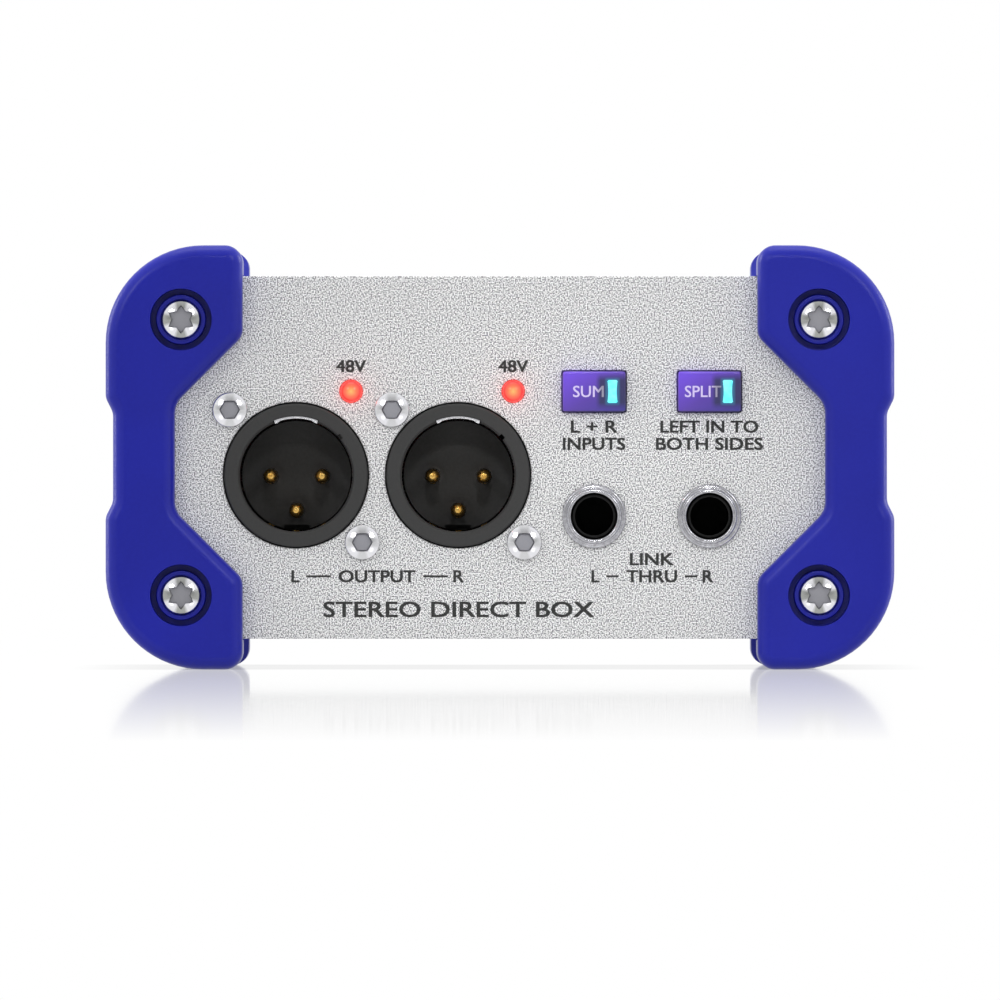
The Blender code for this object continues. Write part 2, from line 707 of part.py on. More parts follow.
def make_button(name, u, v, datum, lit):
    """A cap with its flange and stem, a light window if lit, and the switch it pushes."""
    half_width, half_height = BUTTON_WIDTH / 2, BUTTON_HEIGHT / 2
    flange_top = -PANEL_THICKNESS - GAP
    flange_low = flange_top - BUTTON_FLANGE_THICKNESS
    stem_end = flange_low - BUTTON_STEM_LENGTH
    cap = block(
        name + "_cap",
        (u - half_width, v - half_height, flange_low),
        (u + half_width, v + half_height, BUTTON_PROUD),
        "violet_plastic",
        datum,
    )
    bevel(cap, BUTTON_ROUND, 1)
    flange = block(
        name + "_flange",
        (u - half_width - BUTTON_FLANGE, v - half_height - BUTTON_FLANGE, flange_low),
        (u + half_width + BUTTON_FLANGE, v + half_height + BUTTON_FLANGE, flange_top),
        datum=datum,
    )
    stem = block(
        name + "_stem",
        (u - BUTTON_STEM / 2, v - BUTTON_STEM / 2, stem_end),
        (u + BUTTON_STEM / 2, v + BUTTON_STEM / 2, flange_top),
        datum=datum,
    )
    combine(cap, "UNION", flange, stem)
    if lit:
        make_light_window(cap, name, u + WINDOW_ACROSS, v, datum)

    floor = stem_end - BUTTON_TRAVEL - GAP
    back = floor - SWITCH_WALL
    mounting = -SWITCH_BOARD_SET_BACK + GAP
    if lit:
        low = v - SWITCH_HALF_HEIGHT
        back = mounting
    else:
        low = ON_BOARD
    switch = block(
        name + "_switch",
        (u - SWITCH_HALF_WIDTH, low, back),
        (u + SWITCH_HALF_WIDTH, v + SWITCH_HALF_HEIGHT, SWITCH_FACE),
        "black_plastic",
        datum,
    )
    reach = BUTTON_STEM / 2 + SWITCH_SLACK
    bore = block(
        name + "_switch_bore",
        (u - reach, v - reach, floor),
        (u + reach, v + reach, SWITCH_FACE + OVERCUT),
        datum=datum,
    )
    combine(switch, "DIFFERENCE", bore)


def make_light_window(cap, name, u, v, datum):
    """The narrow-waisted window that shows the light, set into the cap's face."""
    half_width, half_height = WINDOW_WIDTH / 2, WINDOW_HEIGHT / 2
    waist = WINDOW_WAIST / 2
    right = [
        (half_width, half_height),
        (waist, half_height / 2),
        (waist, -half_height / 2),
        (half_width, -half_height),
    ]
    outline = [(u + a, v + b) for a, b in right] + [(u - a, v + b) for a, b in reversed(right)]
    low = BUTTON_PROUD - WINDOW_DEPTH
    prism(name + "_window", [outline], low, BUTTON_PROUD, "cyan_window", datum)
    pocket = rectangle((u, v), half_width + SMALL_GAP, half_height + SMALL_GAP)
    cutter = prism(name + "_window_pocket", [pocket], low - SMALL_GAP, BUTTON_PROUD + OVERCUT, None, datum)
    combine(cap, "DIFFERENCE", cutter)


def make_jack(name, u, datum):
    """A 1/4 inch jack: a moulded body on the board and the ferrule that clamps it to the panel."""
    centre = (u, JACK_V)
    behind = -PANEL_THICKNESS - GAP
    back = behind - JACK_BODY_DEPTH
    body = block(
        name + "_body",
        (u - JACK_HALF_WIDTH, ON_BOARD, back),
        (u + JACK_HALF_WIDTH, JACK_V + JACK_HALF_WIDTH, behind),
        "black_plastic",
        datum,
    )
    bore_back = back + JACK_BACK_WALL
    mouth = JACK_SLEEVE_PROUD
    sleeve = rod(name + "_sleeve", JACK_SLEEVE_RADIUS, behind - OVERCUT, mouth, centre, None, datum)
    bore = rod(name + "_bore", JACK_BORE_RADIUS, bore_back, mouth + OVERCUT, centre, None, datum)
    combine(body, "UNION", sleeve)
    combine(body, "DIFFERENCE", bore)
    turned(
        name + "_ferrule",
        [
            (JACK_STEP_RADIUS, JACK_PROUD),
            (JACK_STEP_RADIUS, GAP + JACK_FLANGE_THICKNESS),
            (JACK_FLANGE_RADIUS, GAP + JACK_FLANGE_THICKNESS),
            (JACK_FLANGE_RADIUS, GAP),
            (JACK_SPIGOT_RADIUS, GAP),
            (JACK_SPIGOT_RADIUS, -PANEL_THICKNESS),
            (JACK_FERRULE_BORE, -PANEL_THICKNESS),
            (JACK_FERRULE_BORE, JACK_PROUD),
        ],
        centre,
        "chrome",
        datum,
    )


def make_mini_jack():
    """The 3.5 mm stereo jack of the rear panel, with its ring nut."""
    centre = (MINI_U, MINI_V)
    behind = -PANEL_THICKNESS - GAP
    back = behind - MINI_BODY_DEPTH
    body = block(
        "mini_jack_body",
        (MINI_U - MINI_HALF_WIDTH, ON_BOARD, back),
        (MINI_U + MINI_HALF_WIDTH, MINI_V + MINI_RISE, behind),
        "black_plastic",
        REAR,
    )
    bore_back = back + JACK_BACK_WALL
    mouth = MINI_PROUD
    sleeve = rod("mini_jack_sleeve", MINI_SLEEVE_RADIUS, behind - OVERCUT, mouth, centre, None, REAR, 16)
    bore = rod("mini_jack_bore", MINI_BORE_RADIUS, bore_back, mouth + OVERCUT, centre, None, REAR, 16)
    combine(body, "UNION", sleeve)
    combine(body, "DIFFERENCE", bore)
    turned(
        "mini_jack_nut",
        [
            (MINI_NUT_RADIUS, GAP + MINI_NUT_THICKNESS),
            (MINI_NUT_RADIUS, GAP),
            (MINI_SLEEVE_RADIUS + SMALL_GAP, GAP),
            (MINI_SLEEVE_RADIUS + SMALL_GAP, GAP + MINI_NUT_THICKNESS),
        ],
        centre,
        "chrome",
        REAR,
        sides=16,
    )


def make_boards():
    """The main board in its slots, the upright board behind the front panel and the header between."""
    half_width = CASE_HALF_WIDTH - SLEEVE_WALL - 2 * GAP
    half_length = PANEL_FACE - PANEL_THICKNESS - BOARD_END_GAP
    main_low = (-half_width, -half_length, BOARD_LOW)
    block("main_board", main_low, (half_width, half_length, BOARD_HIGH), "board")

    front = -SWITCH_BOARD_SET_BACK
    back = front - BOARD_THICKNESS
    low = XLR_V + XLR_SHELL_RADIUS + XLR_SHOULDER + GAP
    left = XLR_U[0] + LAMP_ACROSS - SWITCH_BOARD_MARGIN
    header_left = JACK_U[1] + JACK_HALF_WIDTH + 2 * GAP
    right = header_left + HEADER_WIDTH
    high = SCREW_V[0] - SCREW_BOSS - GAP
    block("switch_board", (left, low, back), (right, high, front), "board", FRONT)
    block(
        "board_header",
        (header_left, ON_BOARD, back - HEADER_DEPTH / 2),
        (right, low - GAP, front),
        "black_plastic",
        FRONT,
    )
    for side, label in ((-1, "left"), (1, "right")):
        rod(
            f"capacitor_{label}", CAPACITOR_RADIUS, ON_BOARD, ON_BOARD + CAPACITOR_HEIGHT,
            (side * CAPACITOR_SPREAD, 0), "aluminium_can", None, 16,
        )
        half = [size / 2 for size in CHIP_SIZE]
        u = side * CHIP_SPREAD
        block(
            f"amplifier_chip_{label}",
            (u - half[0], -half[1], ON_BOARD),
            (u + half[0], half[1], ON_BOARD + CHIP_SIZE[2]),
            "black_plastic",
        )


def build():
    make_sleeve()
    make_panels()
    make_bumper("bumper_left", -1)
    make_bumper("bumper_right", 1)
    make_bumper_screws()
    for side, u in zip(("left", "right"), XLR_U):
        make_xlr(side, u)
        make_lamp(side, u)
    for name, u in zip(("sum_button", "split_button"), JACK_U):
        make_button(name, u, BUTTON_V, FRONT, lit=True)
    for name, u in zip(("pad_button", "ground_button"), REAR_BUTTON_U):
        make_button(name, u, JACK_V, REAR, lit=False)
    for name, u in zip(("link_jack_left", "link_jack_right"), JACK_U):
        make_jack(name, u, FRONT)
    for name, u in zip(("input_jack_right", "input_jack_left"), REAR_JACK_U):
        make_jack(name, u, REAR)
    make_mini_jack()
    make_boards()


for old in list(bpy.data.objects):
    bpy.data.objects.remove(old)
PARTS = new_collection("direct_injection_box")
CUTTERS = new_collection("cutters")
MATERIALS = {name: make_finish(name) for name in FINISHES}
FRONT = datum_frame("front_datum", -PANEL_FACE, 0)
REAR = datum_frame("rear_datum", PANEL_FACE, math.pi)
DATUM_SIDE = {"front": 1, "rear": -1}  # which way u runs along world X
build()
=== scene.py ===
"""The looks of a stereo direct injection box, built around its packed model.

World axes: metres, +X to the right as one faces the front, +Y to the rear and +Z up. What belongs
to a panel is laid out in that panel's own axes: u across and v up as one faces it, and w outwards
from its face. FRONT and REAR are the matrices that carry those axes to the world.
"""

import json
import math

import bmesh
import bpy
from bpy.props import FloatProperty, FloatVectorProperty, PointerProperty, StringProperty
from mathutils import Matrix, Vector

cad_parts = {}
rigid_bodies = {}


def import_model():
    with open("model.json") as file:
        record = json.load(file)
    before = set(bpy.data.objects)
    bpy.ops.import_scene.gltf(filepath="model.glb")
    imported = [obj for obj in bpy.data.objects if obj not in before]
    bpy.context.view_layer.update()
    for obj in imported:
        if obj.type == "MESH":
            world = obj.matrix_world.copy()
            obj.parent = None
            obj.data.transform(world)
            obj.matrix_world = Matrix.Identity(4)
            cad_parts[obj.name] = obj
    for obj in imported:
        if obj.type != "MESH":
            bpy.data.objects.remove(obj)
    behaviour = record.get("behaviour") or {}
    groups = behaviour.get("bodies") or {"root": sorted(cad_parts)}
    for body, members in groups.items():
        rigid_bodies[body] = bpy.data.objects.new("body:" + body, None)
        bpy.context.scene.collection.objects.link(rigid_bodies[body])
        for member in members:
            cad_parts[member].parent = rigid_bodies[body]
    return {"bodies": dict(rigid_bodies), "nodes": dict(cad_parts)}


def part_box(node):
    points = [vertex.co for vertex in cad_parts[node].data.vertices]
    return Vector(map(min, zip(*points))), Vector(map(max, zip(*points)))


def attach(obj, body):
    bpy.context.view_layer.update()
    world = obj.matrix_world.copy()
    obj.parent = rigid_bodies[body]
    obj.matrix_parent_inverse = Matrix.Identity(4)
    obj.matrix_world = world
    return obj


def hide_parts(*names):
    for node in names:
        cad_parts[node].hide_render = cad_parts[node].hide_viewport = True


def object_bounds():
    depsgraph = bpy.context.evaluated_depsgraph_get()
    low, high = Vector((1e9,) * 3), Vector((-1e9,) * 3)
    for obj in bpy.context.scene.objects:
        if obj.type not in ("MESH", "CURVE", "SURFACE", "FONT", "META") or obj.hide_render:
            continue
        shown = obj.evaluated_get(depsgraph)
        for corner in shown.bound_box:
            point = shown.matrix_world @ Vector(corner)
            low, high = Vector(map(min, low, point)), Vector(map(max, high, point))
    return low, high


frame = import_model()

bl_info = {
    "name": "Direct Injection Box",
    "version": (1, 0, 0),
    "blender": (4, 5, 0),
    "location": "View3D > Sidebar > DI Box",
    "description": "Builds the visible pieces of a stereo direct injection box",
    "category": "Object",
}

CAD_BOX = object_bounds()
ROOT = "case"

# Clearances and fineness of the meshes
GAP = 0.0003  # between pieces that rest on each other
SMALL_GAP = 0.0001  # between small pieces held in one another
OVERCUT = 0.002  # how far a cutter runs past the wall it cuts
WELD = 0.000001
FLAT = math.radians(0.1)  # the most that the faces of one flat end may turn
SHARP = math.radians(35)  # edges that turn more than this stay sharp
ARC_STEP = math.radians(5)
FINE_SIDES = 96
SIDES = 48
SMALL_SIDES = 32

# Case and panels
PANEL_THICKNESS = 0.002
BEHIND = -PANEL_THICKNESS - GAP  # where the pieces behind a panel may start
CASE_RADIUS = 0.008
PANEL_EDGE = 0.00015
SCREW_HOLE_RADIUS = 0.0021

# Bumpers
LOBE_REACH = 0.02315
WAIST_REACH = 0.0117
LOBE_RISE = 0.01535
LOBE_LENGTH = 0.021
WAIST_STEP = 0.00125
STEP_RISE = 0.0258
STEP_RUN = 0.0025
STEP_RADIUS = 0.003
CORNER_RADIUS = 0.0165
LOBE_RADIUS = 0.003
WAIST_RADIUS = 0.004

# Seats of the bumper screws
COLLAR_SLACK = 0.0001
COLLAR_WALL = 0.0008
COLLAR_SINK = 0.0018
GROOVE_WIDTH = 0.00105
GROOVE_DEPTH = 0.0044
SEAT_FILLET = 0.00012
SCREW_SINK = 0.0002
SCREW_SHANK_RADIUS = 0.0017
SCREW_HEAD_HEIGHT = 0.0022
STAR_RIM = 0.00052  # how far below the top of the crown the recess starts to flare
HEX_RIM = 0.0004

SCREW_CROWN = (  # share of the head's radius, and share of the crown's height that it is reached at
    (1.0, 0.0), (0.995, 0.1), (0.98, 0.19), (0.955, 0.26), (0.92, 0.33),
    (0.8, 0.52), (0.65, 0.71), (0.45, 0.88), (0.2, 1.0),
)

# XLR connectors
XLR_FACE_RADIUS = 0.01235
XLR_SHOULDER = 0.00065
XLR_RIM = 0.0003  # rounding of the shell's rim and chamfer of the cup's mouth
XLR_LUG_DEPTH = 0.008
XLR_FOOT_HALF_WIDTH = 0.010
XLR_SCREW_HOLE_RADIUS = 0.0016
XLR_NOTCH_ANGLE = math.radians(41)
XLR_NOTCH = (0.0006, 0.0009)  # how far it cuts into the rim, and its width
XLR_NOTCH_FLOOR = -0.008
XLR_FACE_GAP = 0.00025  # how much narrower the visible face is than the shell, all round
INSERT_EDGE = 0.0002
CONTACT_RING = 1.7  # radius of the shallow ring round a contact, over the radius of its bore
CONTACT_RING_DEPTH = 0.0003
KEY_DEPTH = 0.004
SPRING_SEAT = 0.0004  # how far the ground spring lies in the wall of the cup
SPRING_SEAT_GAP = 0.0001
SPRING_SEAT_SLACK = 0.02  # in radians, past either end of the spring
PINS = (1, 2, 3)
PIN_RADIUS = 0.0012
PIN_LEG = 0.0009
KEY_WIDTH = 0.0044
KEY_FLOOR = 0.0084
SPRING_HALF_ANGLE = math.radians(22)
SPRING_THICKNESS = 0.00035
SPRING_TAB = 0.00055  # how far the folded ends reach in from the wall
ARC_BAND_STEPS = 16
XLR_SCREW_SHANK_RADIUS = 0.0013

# Push-buttons
BUTTON_SLACK = 0.0002
BUTTON_FLANGE = 0.0009
BUTTON_FLANGE_THICKNESS = 0.0008
BUTTON_STEM = 0.003
BUTTON_CORNER = 0.0004
CAP_RIM = 0.0003
WINDOW_ACROSS = 0.792  # middle of a window, as a share of the cap's width
WINDOW_WAIST = 0.00142
WINDOW_STEPS = 10
WINDOW_CORNER = 0.00045
WINDOW_POCKET_GAP = 0.00005
WINDOW_RIM = 0.00008

# Lamps
LAMP_FLANGE = 0.00045
LAMP_FLANGE_THICKNESS = 0.001
LAMP_DOME = 0.75  # height of the dome, over its radius
LAMP_DOME_STEPS = 10
LAMP_GLOW_OUT = 0.0035  # how far in front of the panel the light of a lamp is taken to come from
LAMP_GLOW_POWER = 0.00014

# Jacks
JACK_BORE_RADIUS = 0.00325
JACK_SLEEVE_RADIUS = 0.00365
JACK_SLEEVE_EDGE = 0.0001
JACK_FERRULE_BORE = 0.0039
JACK_SPIGOT_RADIUS = 0.0044
JACK_STEP_RADIUS = 0.00465
JACK_FLANGE_THICKNESS = 0.0008
JACK_BACK_WALL = 0.0015
JACK_BLOCK_EDGE = 0.0004
MINI_BORE_RADIUS = 0.0018
MINI_SLEEVE_RADIUS = 0.0029
MINI_EDGE = 0.0002
MINI_SLOT = (0.0008, 0.0006, 0.0007)  # width, reach to either side of the rim, and depth

# Print
PRINT_RISE = 0.00003  # thickness of the ink
BOLD = 0.00008  # by how much the strokes of the print are thickened on each side
BOLD_UP = 0.6  # the same upwards, over what it is across
CAP_HEIGHT = 0.0021
ROW_PITCH = 0.0029
SOCKET_ROW_DROP = 0.0171  # from the middle of the XLR connectors down to the sockets' words
TITLE_PLACE = (0.0138, -0.0056)  # from the middle of the outputs' word
TITLE_SIZE = (0.0027, 0.0458)  # height and width
LAMP_WORD_RISE = 0.00424
LAMP_WORD_WIDTH = 0.0051
BUTTON_WORD_DROP = 0.00595
BUTTON_ROWS = {  # lines under the buttons, and their widths
    "sum_button": (("L + R", 0.0079), ("INPUTS", 0.0106)),
    "split_button": (("LEFT IN TO", 0.0166), ("BOTH SIDES", 0.0181)),
}
REAR_WORDS = {"pad_button": ("PAD", 0.0058), "ground_button": ("LIFT", 0.006)}
CAP_WORDS = {  # word on a cap, its width, and where it starts from the middle of the cap
    "sum_button": ("SUM", 0.0052, -0.00358),
    "split_button": ("SPLIT", 0.00616, -0.00418),
}
CAP_WORD_HEIGHT = 0.00195
CAP_WORD_BOLD = 0.00003
DASH_HEIGHT = 0.00035
DASH_GAP = 0.0013  # from a word to its dash
LETTER_GAP = 0.0018  # from a dash to the middle of the letter at its end
LETTER_WIDTHS = {"L": 0.0014, "R": 0.0018}

# Stage
FLOOR_REACH = 12.0
SENSOR_WIDTH = 36
CLIP = (0.1, 60)
SOFTBOXES = {  # place, size and power; a pair has one on either side of the box
    "key": ((1.2, -2.1, 1.0), (0.5, 0.5), 6.2),
    "side": ((2.2, 0.8, 0.6), (0.5, 1.4), 14),
    "top": ((0.0, 0.1, 2.2), (1.6, 1.2), 9),
}
SPOT_PLACE = (0.015, -1.25, 0.4)
SPOT_REACH = 0.07
SPOT_POWER = 11
SPOT_RADIUS = 0.06

# Places, read from the packed model
PANEL_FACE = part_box("rear_panel")[1].y
FRONT = Matrix.Translation((0, -PANEL_FACE, 0)) @ Matrix.Rotation(math.pi / 2, 4, "X")
REAR = Matrix.Rotation(math.pi, 4, "Z") @ FRONT
PANEL = {"front": FRONT, "rear": REAR}
EDGE_SIZES = {"width": 2 * CAD_BOX[1].x, "height": CAD_BOX[1].z, "depth": 2 * CAD_BOX[1].y}


def local_box(node, panel):
    """Lowest and highest corner of a CAD node in a panel's own axes."""
    to_panel = PANEL[panel].inverted()
    corners = [to_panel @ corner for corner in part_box(node)]
    low = Vector(min(a, b) for a, b in zip(*corners))
    high = Vector(max(a, b) for a, b in zip(*corners))
    return low, high


def place_of(node, panel):
    """The middle (u, v) of a CAD node on a panel."""
    low, high = local_box(node, panel)
    return (low.x + high.x) / 2, (low.y + high.y) / 2


BUMPER_SCREWS = {
    f"bumper_screw_{panel}_{up}_{across}": panel
    for panel in PANEL for up in ("upper", "lower") for across in ("left", "right")
}
XLRS = ("xlr_left", "xlr_right")
XLR_SCREWS = [f"{xlr}_screw_{end}" for xlr in XLRS for end in ("upper", "lower")]
LAMPS = ("lamp_left", "lamp_right")
BUTTONS = {
    "sum_button": "front", "split_button": "front", "pad_button": "rear", "ground_button": "rear",
}
LIT_BUTTONS = ("sum_button", "split_button")
JACKS = {
    "link_jack_left": "front", "link_jack_right": "front",
    "input_jack_left": "rear", "input_jack_right": "rear",
}


def half_size(node, panel):
    """Half the width and half the height of a CAD node on a panel."""
    low, high = local_box(node, panel)
    return (high.x - low.x) / 2, (high.y - low.y) / 2


def linear(code):
    """An sRGB hex colour as linear red, green and blue."""
    channels = [int(code[i:i + 2], 16) / 255 for i in (1, 3, 5)]
    return tuple(c / 12.92 if c <= 0.04045 else ((c + 0.055) / 1.055) ** 2.4 for c in channels)


def tint(name, description, code):
    """A colour setting, with its sRGB hex code."""
    return FloatVectorProperty(
        name=name, description=description, default=linear(code), subtype="COLOR", size=3,
        min=0, max=1,
    )


def length(name, description, default, low, high):
    """A setting in metres."""
    return FloatProperty(
        name=name, description=description, default=default, min=low, max=high, unit="LENGTH",
    )


class RubberSettings(bpy.types.PropertyGroup):
    """The two moulded bumpers."""

    colour: tint("Rubber", "Colour of the moulded rubber", "#0D18A4")
    rim: length("Rim Radius", "Rounding of the rims of a bumper's ends", 0.0022, 0.0005, 0.003)
    pebble: length("Pebble Size", "Width of a pebble of the mould's texture", 0.0003, 0.0001, 0.002)


class PanelSettings(bpy.types.PropertyGroup):
    """Case sleeve and end panels."""

    pale: tint("Pale Fleck", "Colour of the bright flecks in the silver paint", "#FFFFFF")
    dark: tint("Dark Fleck", "Colour between the flecks of the silver paint", "#5E5E66")
    fleck: length("Fleck Size", "Width of one fleck of the grained paint", 0.00023, 0.00005, 0.002)


class FittingSettings(bpy.types.PropertyGroup):
    """Screws, connectors and jacks."""

    plate: tint("Bright Plate", "Colour of the plated screws and ferrules", "#E4E4E8")
    shell: tint("Connector Shell", "Colour of the connector shells", "#212121")
    contact: tint("Contact Plate", "Colour of the plated contacts", "#E2B968")
    star_tip: length(
        "Star Tip", "Middle of a bumper screw to a tip of its recess", 0.0023, 0.001, 0.003,
    )
    star_root: length(
        "Star Root", "Middle of a bumper screw to a root of its recess", 0.0014, 0.0005, 0.0025,
    )
    star_depth: length("Star Depth", "Depth of the bumper screws' recess", 0.0012, 0.0003, 0.002)
    hex_flats: length(
        "Hex Across Flats", "Width of the connector screws' sockets", 0.0027, 0.001, 0.004,
    )
    hex_depth: length("Hex Depth", "Depth of the connector screws' sockets", 0.0009, 0.0003, 0.0014)


class LightSettings(bpy.types.PropertyGroup):
    """Lamps, button caps and their light windows."""

    cap: tint("Cap", "Colour of the push-button caps", "#774CEC")
    window: tint("Window", "Colour of the lit windows", "#60F8FF")
    lamp: tint("Lamp", "Colour of the lit lamps", "#FF3A30")
    strength: FloatProperty(
        name="Light Strength", description="How strongly lamps and windows shine",
        default=1.0, min=0, max=10,
    )


class PrintSettings(bpy.types.PropertyGroup):
    """The printed legends, all of them plain words for what a socket or button does."""

    ink: tint("Ink", "Colour of the panel print", "#2B2B2B")
    outputs: StringProperty(name="Outputs", description="Between the outputs", default="OUTPUT")
    thru: StringProperty(name="Thru", description="Between the link jacks", default="THRU")
    inputs: StringProperty(name="Inputs", description="Between the inputs", default="INPUT")
    title: StringProperty(name="Title", description="Kind of box", default="STEREO DIRECT BOX")


class StageSettings(bpy.types.PropertyGroup):
    """Floor, lights and camera."""

    distance: length("Camera Distance", "Camera to the front of the bumpers", 4.0, 0.5, 20)
    field: length("Field Width", "Width seen at the front of the bumpers", 0.1689, 0.05, 1)
    height: length("Camera Height", "Height of the camera above the floor", 0.02865, 0.0, 1)
    surround: FloatProperty(
        name="Surround", description="Brightness of the studio around the box",
        default=1.0, min=0, max=5,
    )


SETTINGS = {
    "di_rubber": RubberSettings,
    "di_panel": PanelSettings,
    "di_fittings": FittingSettings,
    "di_lights": LightSettings,
    "di_print": PrintSettings,
    "di_stage": StageSettings,
}


def add(tree, kind, settings=None, inputs=None, stops=None):
    """Adds a node: its own properties, its input values or links, and any colour stops."""
    made = tree.nodes.new(kind)
    for key, value in (settings or {}).items():
        setattr(made, key, value)
    for key, value in (inputs or {}).items():
        if isinstance(value, bpy.types.NodeSocket):
            tree.links.new(value, made.inputs[key])
        else:
            made.inputs[key].default_value = value
    for index, (position, colour) in enumerate(stops or ()):
        ramp = made.color_ramp.elements
        stop = ramp[index] if index < len(ramp) else ramp.new(position)
        stop.position = position
        stop.color = (*colour, 1)
    return made


def calc(tree, operation, *values):
    """The result of one Math node on numbers or sockets."""
    return add(tree, "ShaderNodeMath", {"operation": operation}, dict(enumerate(values))).outputs[0]


def long(tree, vector):
    """The length of a vector."""
    return add(tree, "ShaderNodeVectorMath", {"operation": "LENGTH"}, {0: vector}).outputs["Value"]


def blend(tree, amount, first, second):
    """Two colours, or sockets that give them, mixed by an amount."""
    sides = {0: amount}
    for index, colour in ((6, first), (7, second)):
        sides[index] = colour if isinstance(colour, bpy.types.NodeSocket) else (*colour, 1)
    return add(tree, "ShaderNodeMix", {"data_type": "RGBA"}, sides).outputs[2]


def material(name, colour, roughness, metallic=0.0, **sockets):
    """A named material and its node tree and shader. Extra sockets are named with underscores."""
    made = bpy.data.materials.new(name)
    made.use_nodes = True
    shader = made.node_tree.nodes["Principled BSDF"]
    shader.inputs["Base Color"].default_value = (*colour, 1)
    shader.inputs["Roughness"].default_value = roughness
    shader.inputs["Metallic"].default_value = metallic
    for key, value in sockets.items():
        shader.inputs[key.replace("_", " ")].default_value = value
    return made, made.node_tree, shader


def grain(tree, width, detail=2.0, roughness=0.5):
    """Noise on Object coordinates whose grains are of that width in metres."""
    place = add(tree, "ShaderNodeTexCoord").outputs["Object"]
    return add(
        tree, "ShaderNodeTexNoise", None,
        {"Vector": place, "Scale": 1 / (2 * width), "Detail": detail, "Roughness": roughness},
    ).outputs["Fac"]


def spread(tree, value, low, high, new_low=0.0, new_high=1.0):
    """A value stretched from one range to another and held inside it."""
    return add(
        tree, "ShaderNodeMapRange", None,
        {"Value": value, "From Min": low, "From Max": high, "To Min": new_low, "To Max": new_high},
    ).outputs[0]


def relief(tree, shader, height, depth, strength):
    """Bump of that depth in metres."""
    sizes = {"Height": height, "Distance": depth, "Strength": strength}
    bump = add(tree, "ShaderNodeBump", None, sizes)
    tree.links.new(bump.outputs[0], shader.inputs["Normal"])


def attribute(tree, name, output="Fac"):
    """A number or, from the output Vector, three that belong to the piece's own mesh."""
    return add(tree, "ShaderNodeAttribute", {"attribute_name": name}).outputs[output]


def across_face(tree):
    """How far across and up its face a cap is, from 0 to 1, by the piece's own UV map."""
    face = add(tree, "ShaderNodeUVMap", {"uv_map": "face"}).outputs[0]
    axes = add(tree, "ShaderNodeSeparateXYZ", None, {0: face}).outputs
    return axes[0], axes[1]


def moulded_rubber(rubber):
    """Thermoplastic rubber from a spark-eroded mould: satin, with a fine pebble and soft edges."""
    made, tree, shader = material(
        "moulded_rubber", rubber.colour, 0.42, Specular_IOR_Level=0.35, IOR=1.5,
    )
    pebble = grain(tree, rubber.pebble, 3.0, 0.6)
    cloud = grain(tree, 0.012)
    shade = blend(tree, spread(tree, cloud, 0.35, 0.65), linear("#0A1498"), rubber.colour[:])
    flecked = blend(tree, spread(tree, pebble, 0.4, 0.8, 0.0, 0.25), shade, linear("#1826B4"))
    tree.links.new(flecked, shader.inputs["Base Color"])
    tree.links.new(spread(tree, pebble, 0.3, 0.7, 0.28, 0.4), shader.inputs["Roughness"])
    relief(tree, shader, pebble, 0.00004, 0.3)
    return made


def grained_silver(panel):
    """Textured silver paint on aluminium: close flecks, bright and dark, and a soft sheen."""
    made, tree, shader = material("grained_silver_paint", panel.pale, 0.45, 0.3)
    fleck = grain(tree, panel.fleck / 2, 1.0, 0.6)
    colour = blend(tree, spread(tree, fleck, 0.38, 0.56), panel.dark[:], panel.pale[:])
    tree.links.new(colour, shader.inputs["Base Color"])
    tree.links.new(spread(tree, fleck, 0.3, 0.7, 0.6, 0.35), shader.inputs["Roughness"])
    relief(tree, shader, fleck, 0.00002, 0.4)
    return made


def bright_plate(fittings):
    """Polished nickel-chrome plate on steel: a mirror with faint turning marks in its roughness and
    bump.

    Two attributes belong to the screws. A painted reflection of pale and dark wedges, four of each,
    lies on the colour of a head and follows the attribute around: a vector out from the screw's axis,
    as long as the painted wedges are strong. The attribute recess is 1 on the walls and floor of the
    drive recess, which the polishing wheel doesn't reach, so they are rougher, and painted shade makes
    them darker.
    """
    made, tree, shader = material("bright_plate", fittings.plate, 0.12, 1.0)
    marks = grain(tree, 0.00015, 1.0)
    recess = attribute(tree, "recess")
    around = attribute(tree, "around", "Vector")
    # Painted reflection: pale and dark wedges round each head, laid into its colour
    axes = add(tree, "ShaderNodeSeparateXYZ", None, {0: around}).outputs
    turn = calc(tree, "MULTIPLY", calc(tree, "ARCTAN2", axes[1], axes[0]), 4.0)
    wave = spread(tree, calc(tree, "COSINE", turn), -0.2, 0.6, 0.0, 0.8)
    painted_wedges = calc(tree, "MULTIPLY", wave, long(tree, around))
    face = blend(tree, painted_wedges, fittings.plate[:], linear("#8C8E88"))
    # Painted shade: the walls and floor of the drive recess get a darker colour
    tree.links.new(blend(tree, recess, face, linear("#94949A")), shader.inputs["Base Color"])
    polish = spread(tree, marks, 0.3, 0.7, 0.08, 0.2)
    dulled = calc(tree, "ADD", polish, calc(tree, "MULTIPLY", recess, 0.3))
    tree.links.new(dulled, shader.inputs["Roughness"])
    relief(tree, shader, marks, 0.000004, 0.2)
    return made


def dull_nickel(fittings):
    """Nickel plate on turned brass rings: greyer and softer than the polished screws."""
    made, tree, shader = material("dull_nickel", fittings.plate, 0.18, 1.0)
    marks = grain(tree, 0.0003, 2.0)
    tarnish = spread(tree, marks, 0.35, 0.65, 0.5, 0.8)
    colour = blend(tree, tarnish, fittings.plate[:], linear("#8E8E94"))
    tree.links.new(colour, shader.inputs["Base Color"])
    tree.links.new(spread(tree, marks, 0.3, 0.7, 0.12, 0.26), shader.inputs["Roughness"])
    relief(tree, shader, marks, 0.000004, 0.2)
    return made


def spring_steel(fittings):
    """Rolled and stamped spring strip: brighter and rougher than the plated screws."""
    made, tree, shader = material("spring_steel", fittings.plate, 0.3, 1.0)
    marks = grain(tree, 0.0003)
    tree.links.new(spread(tree, marks, 0.3, 0.7, 0.22, 0.4), shader.inputs["Roughness"])
    return made


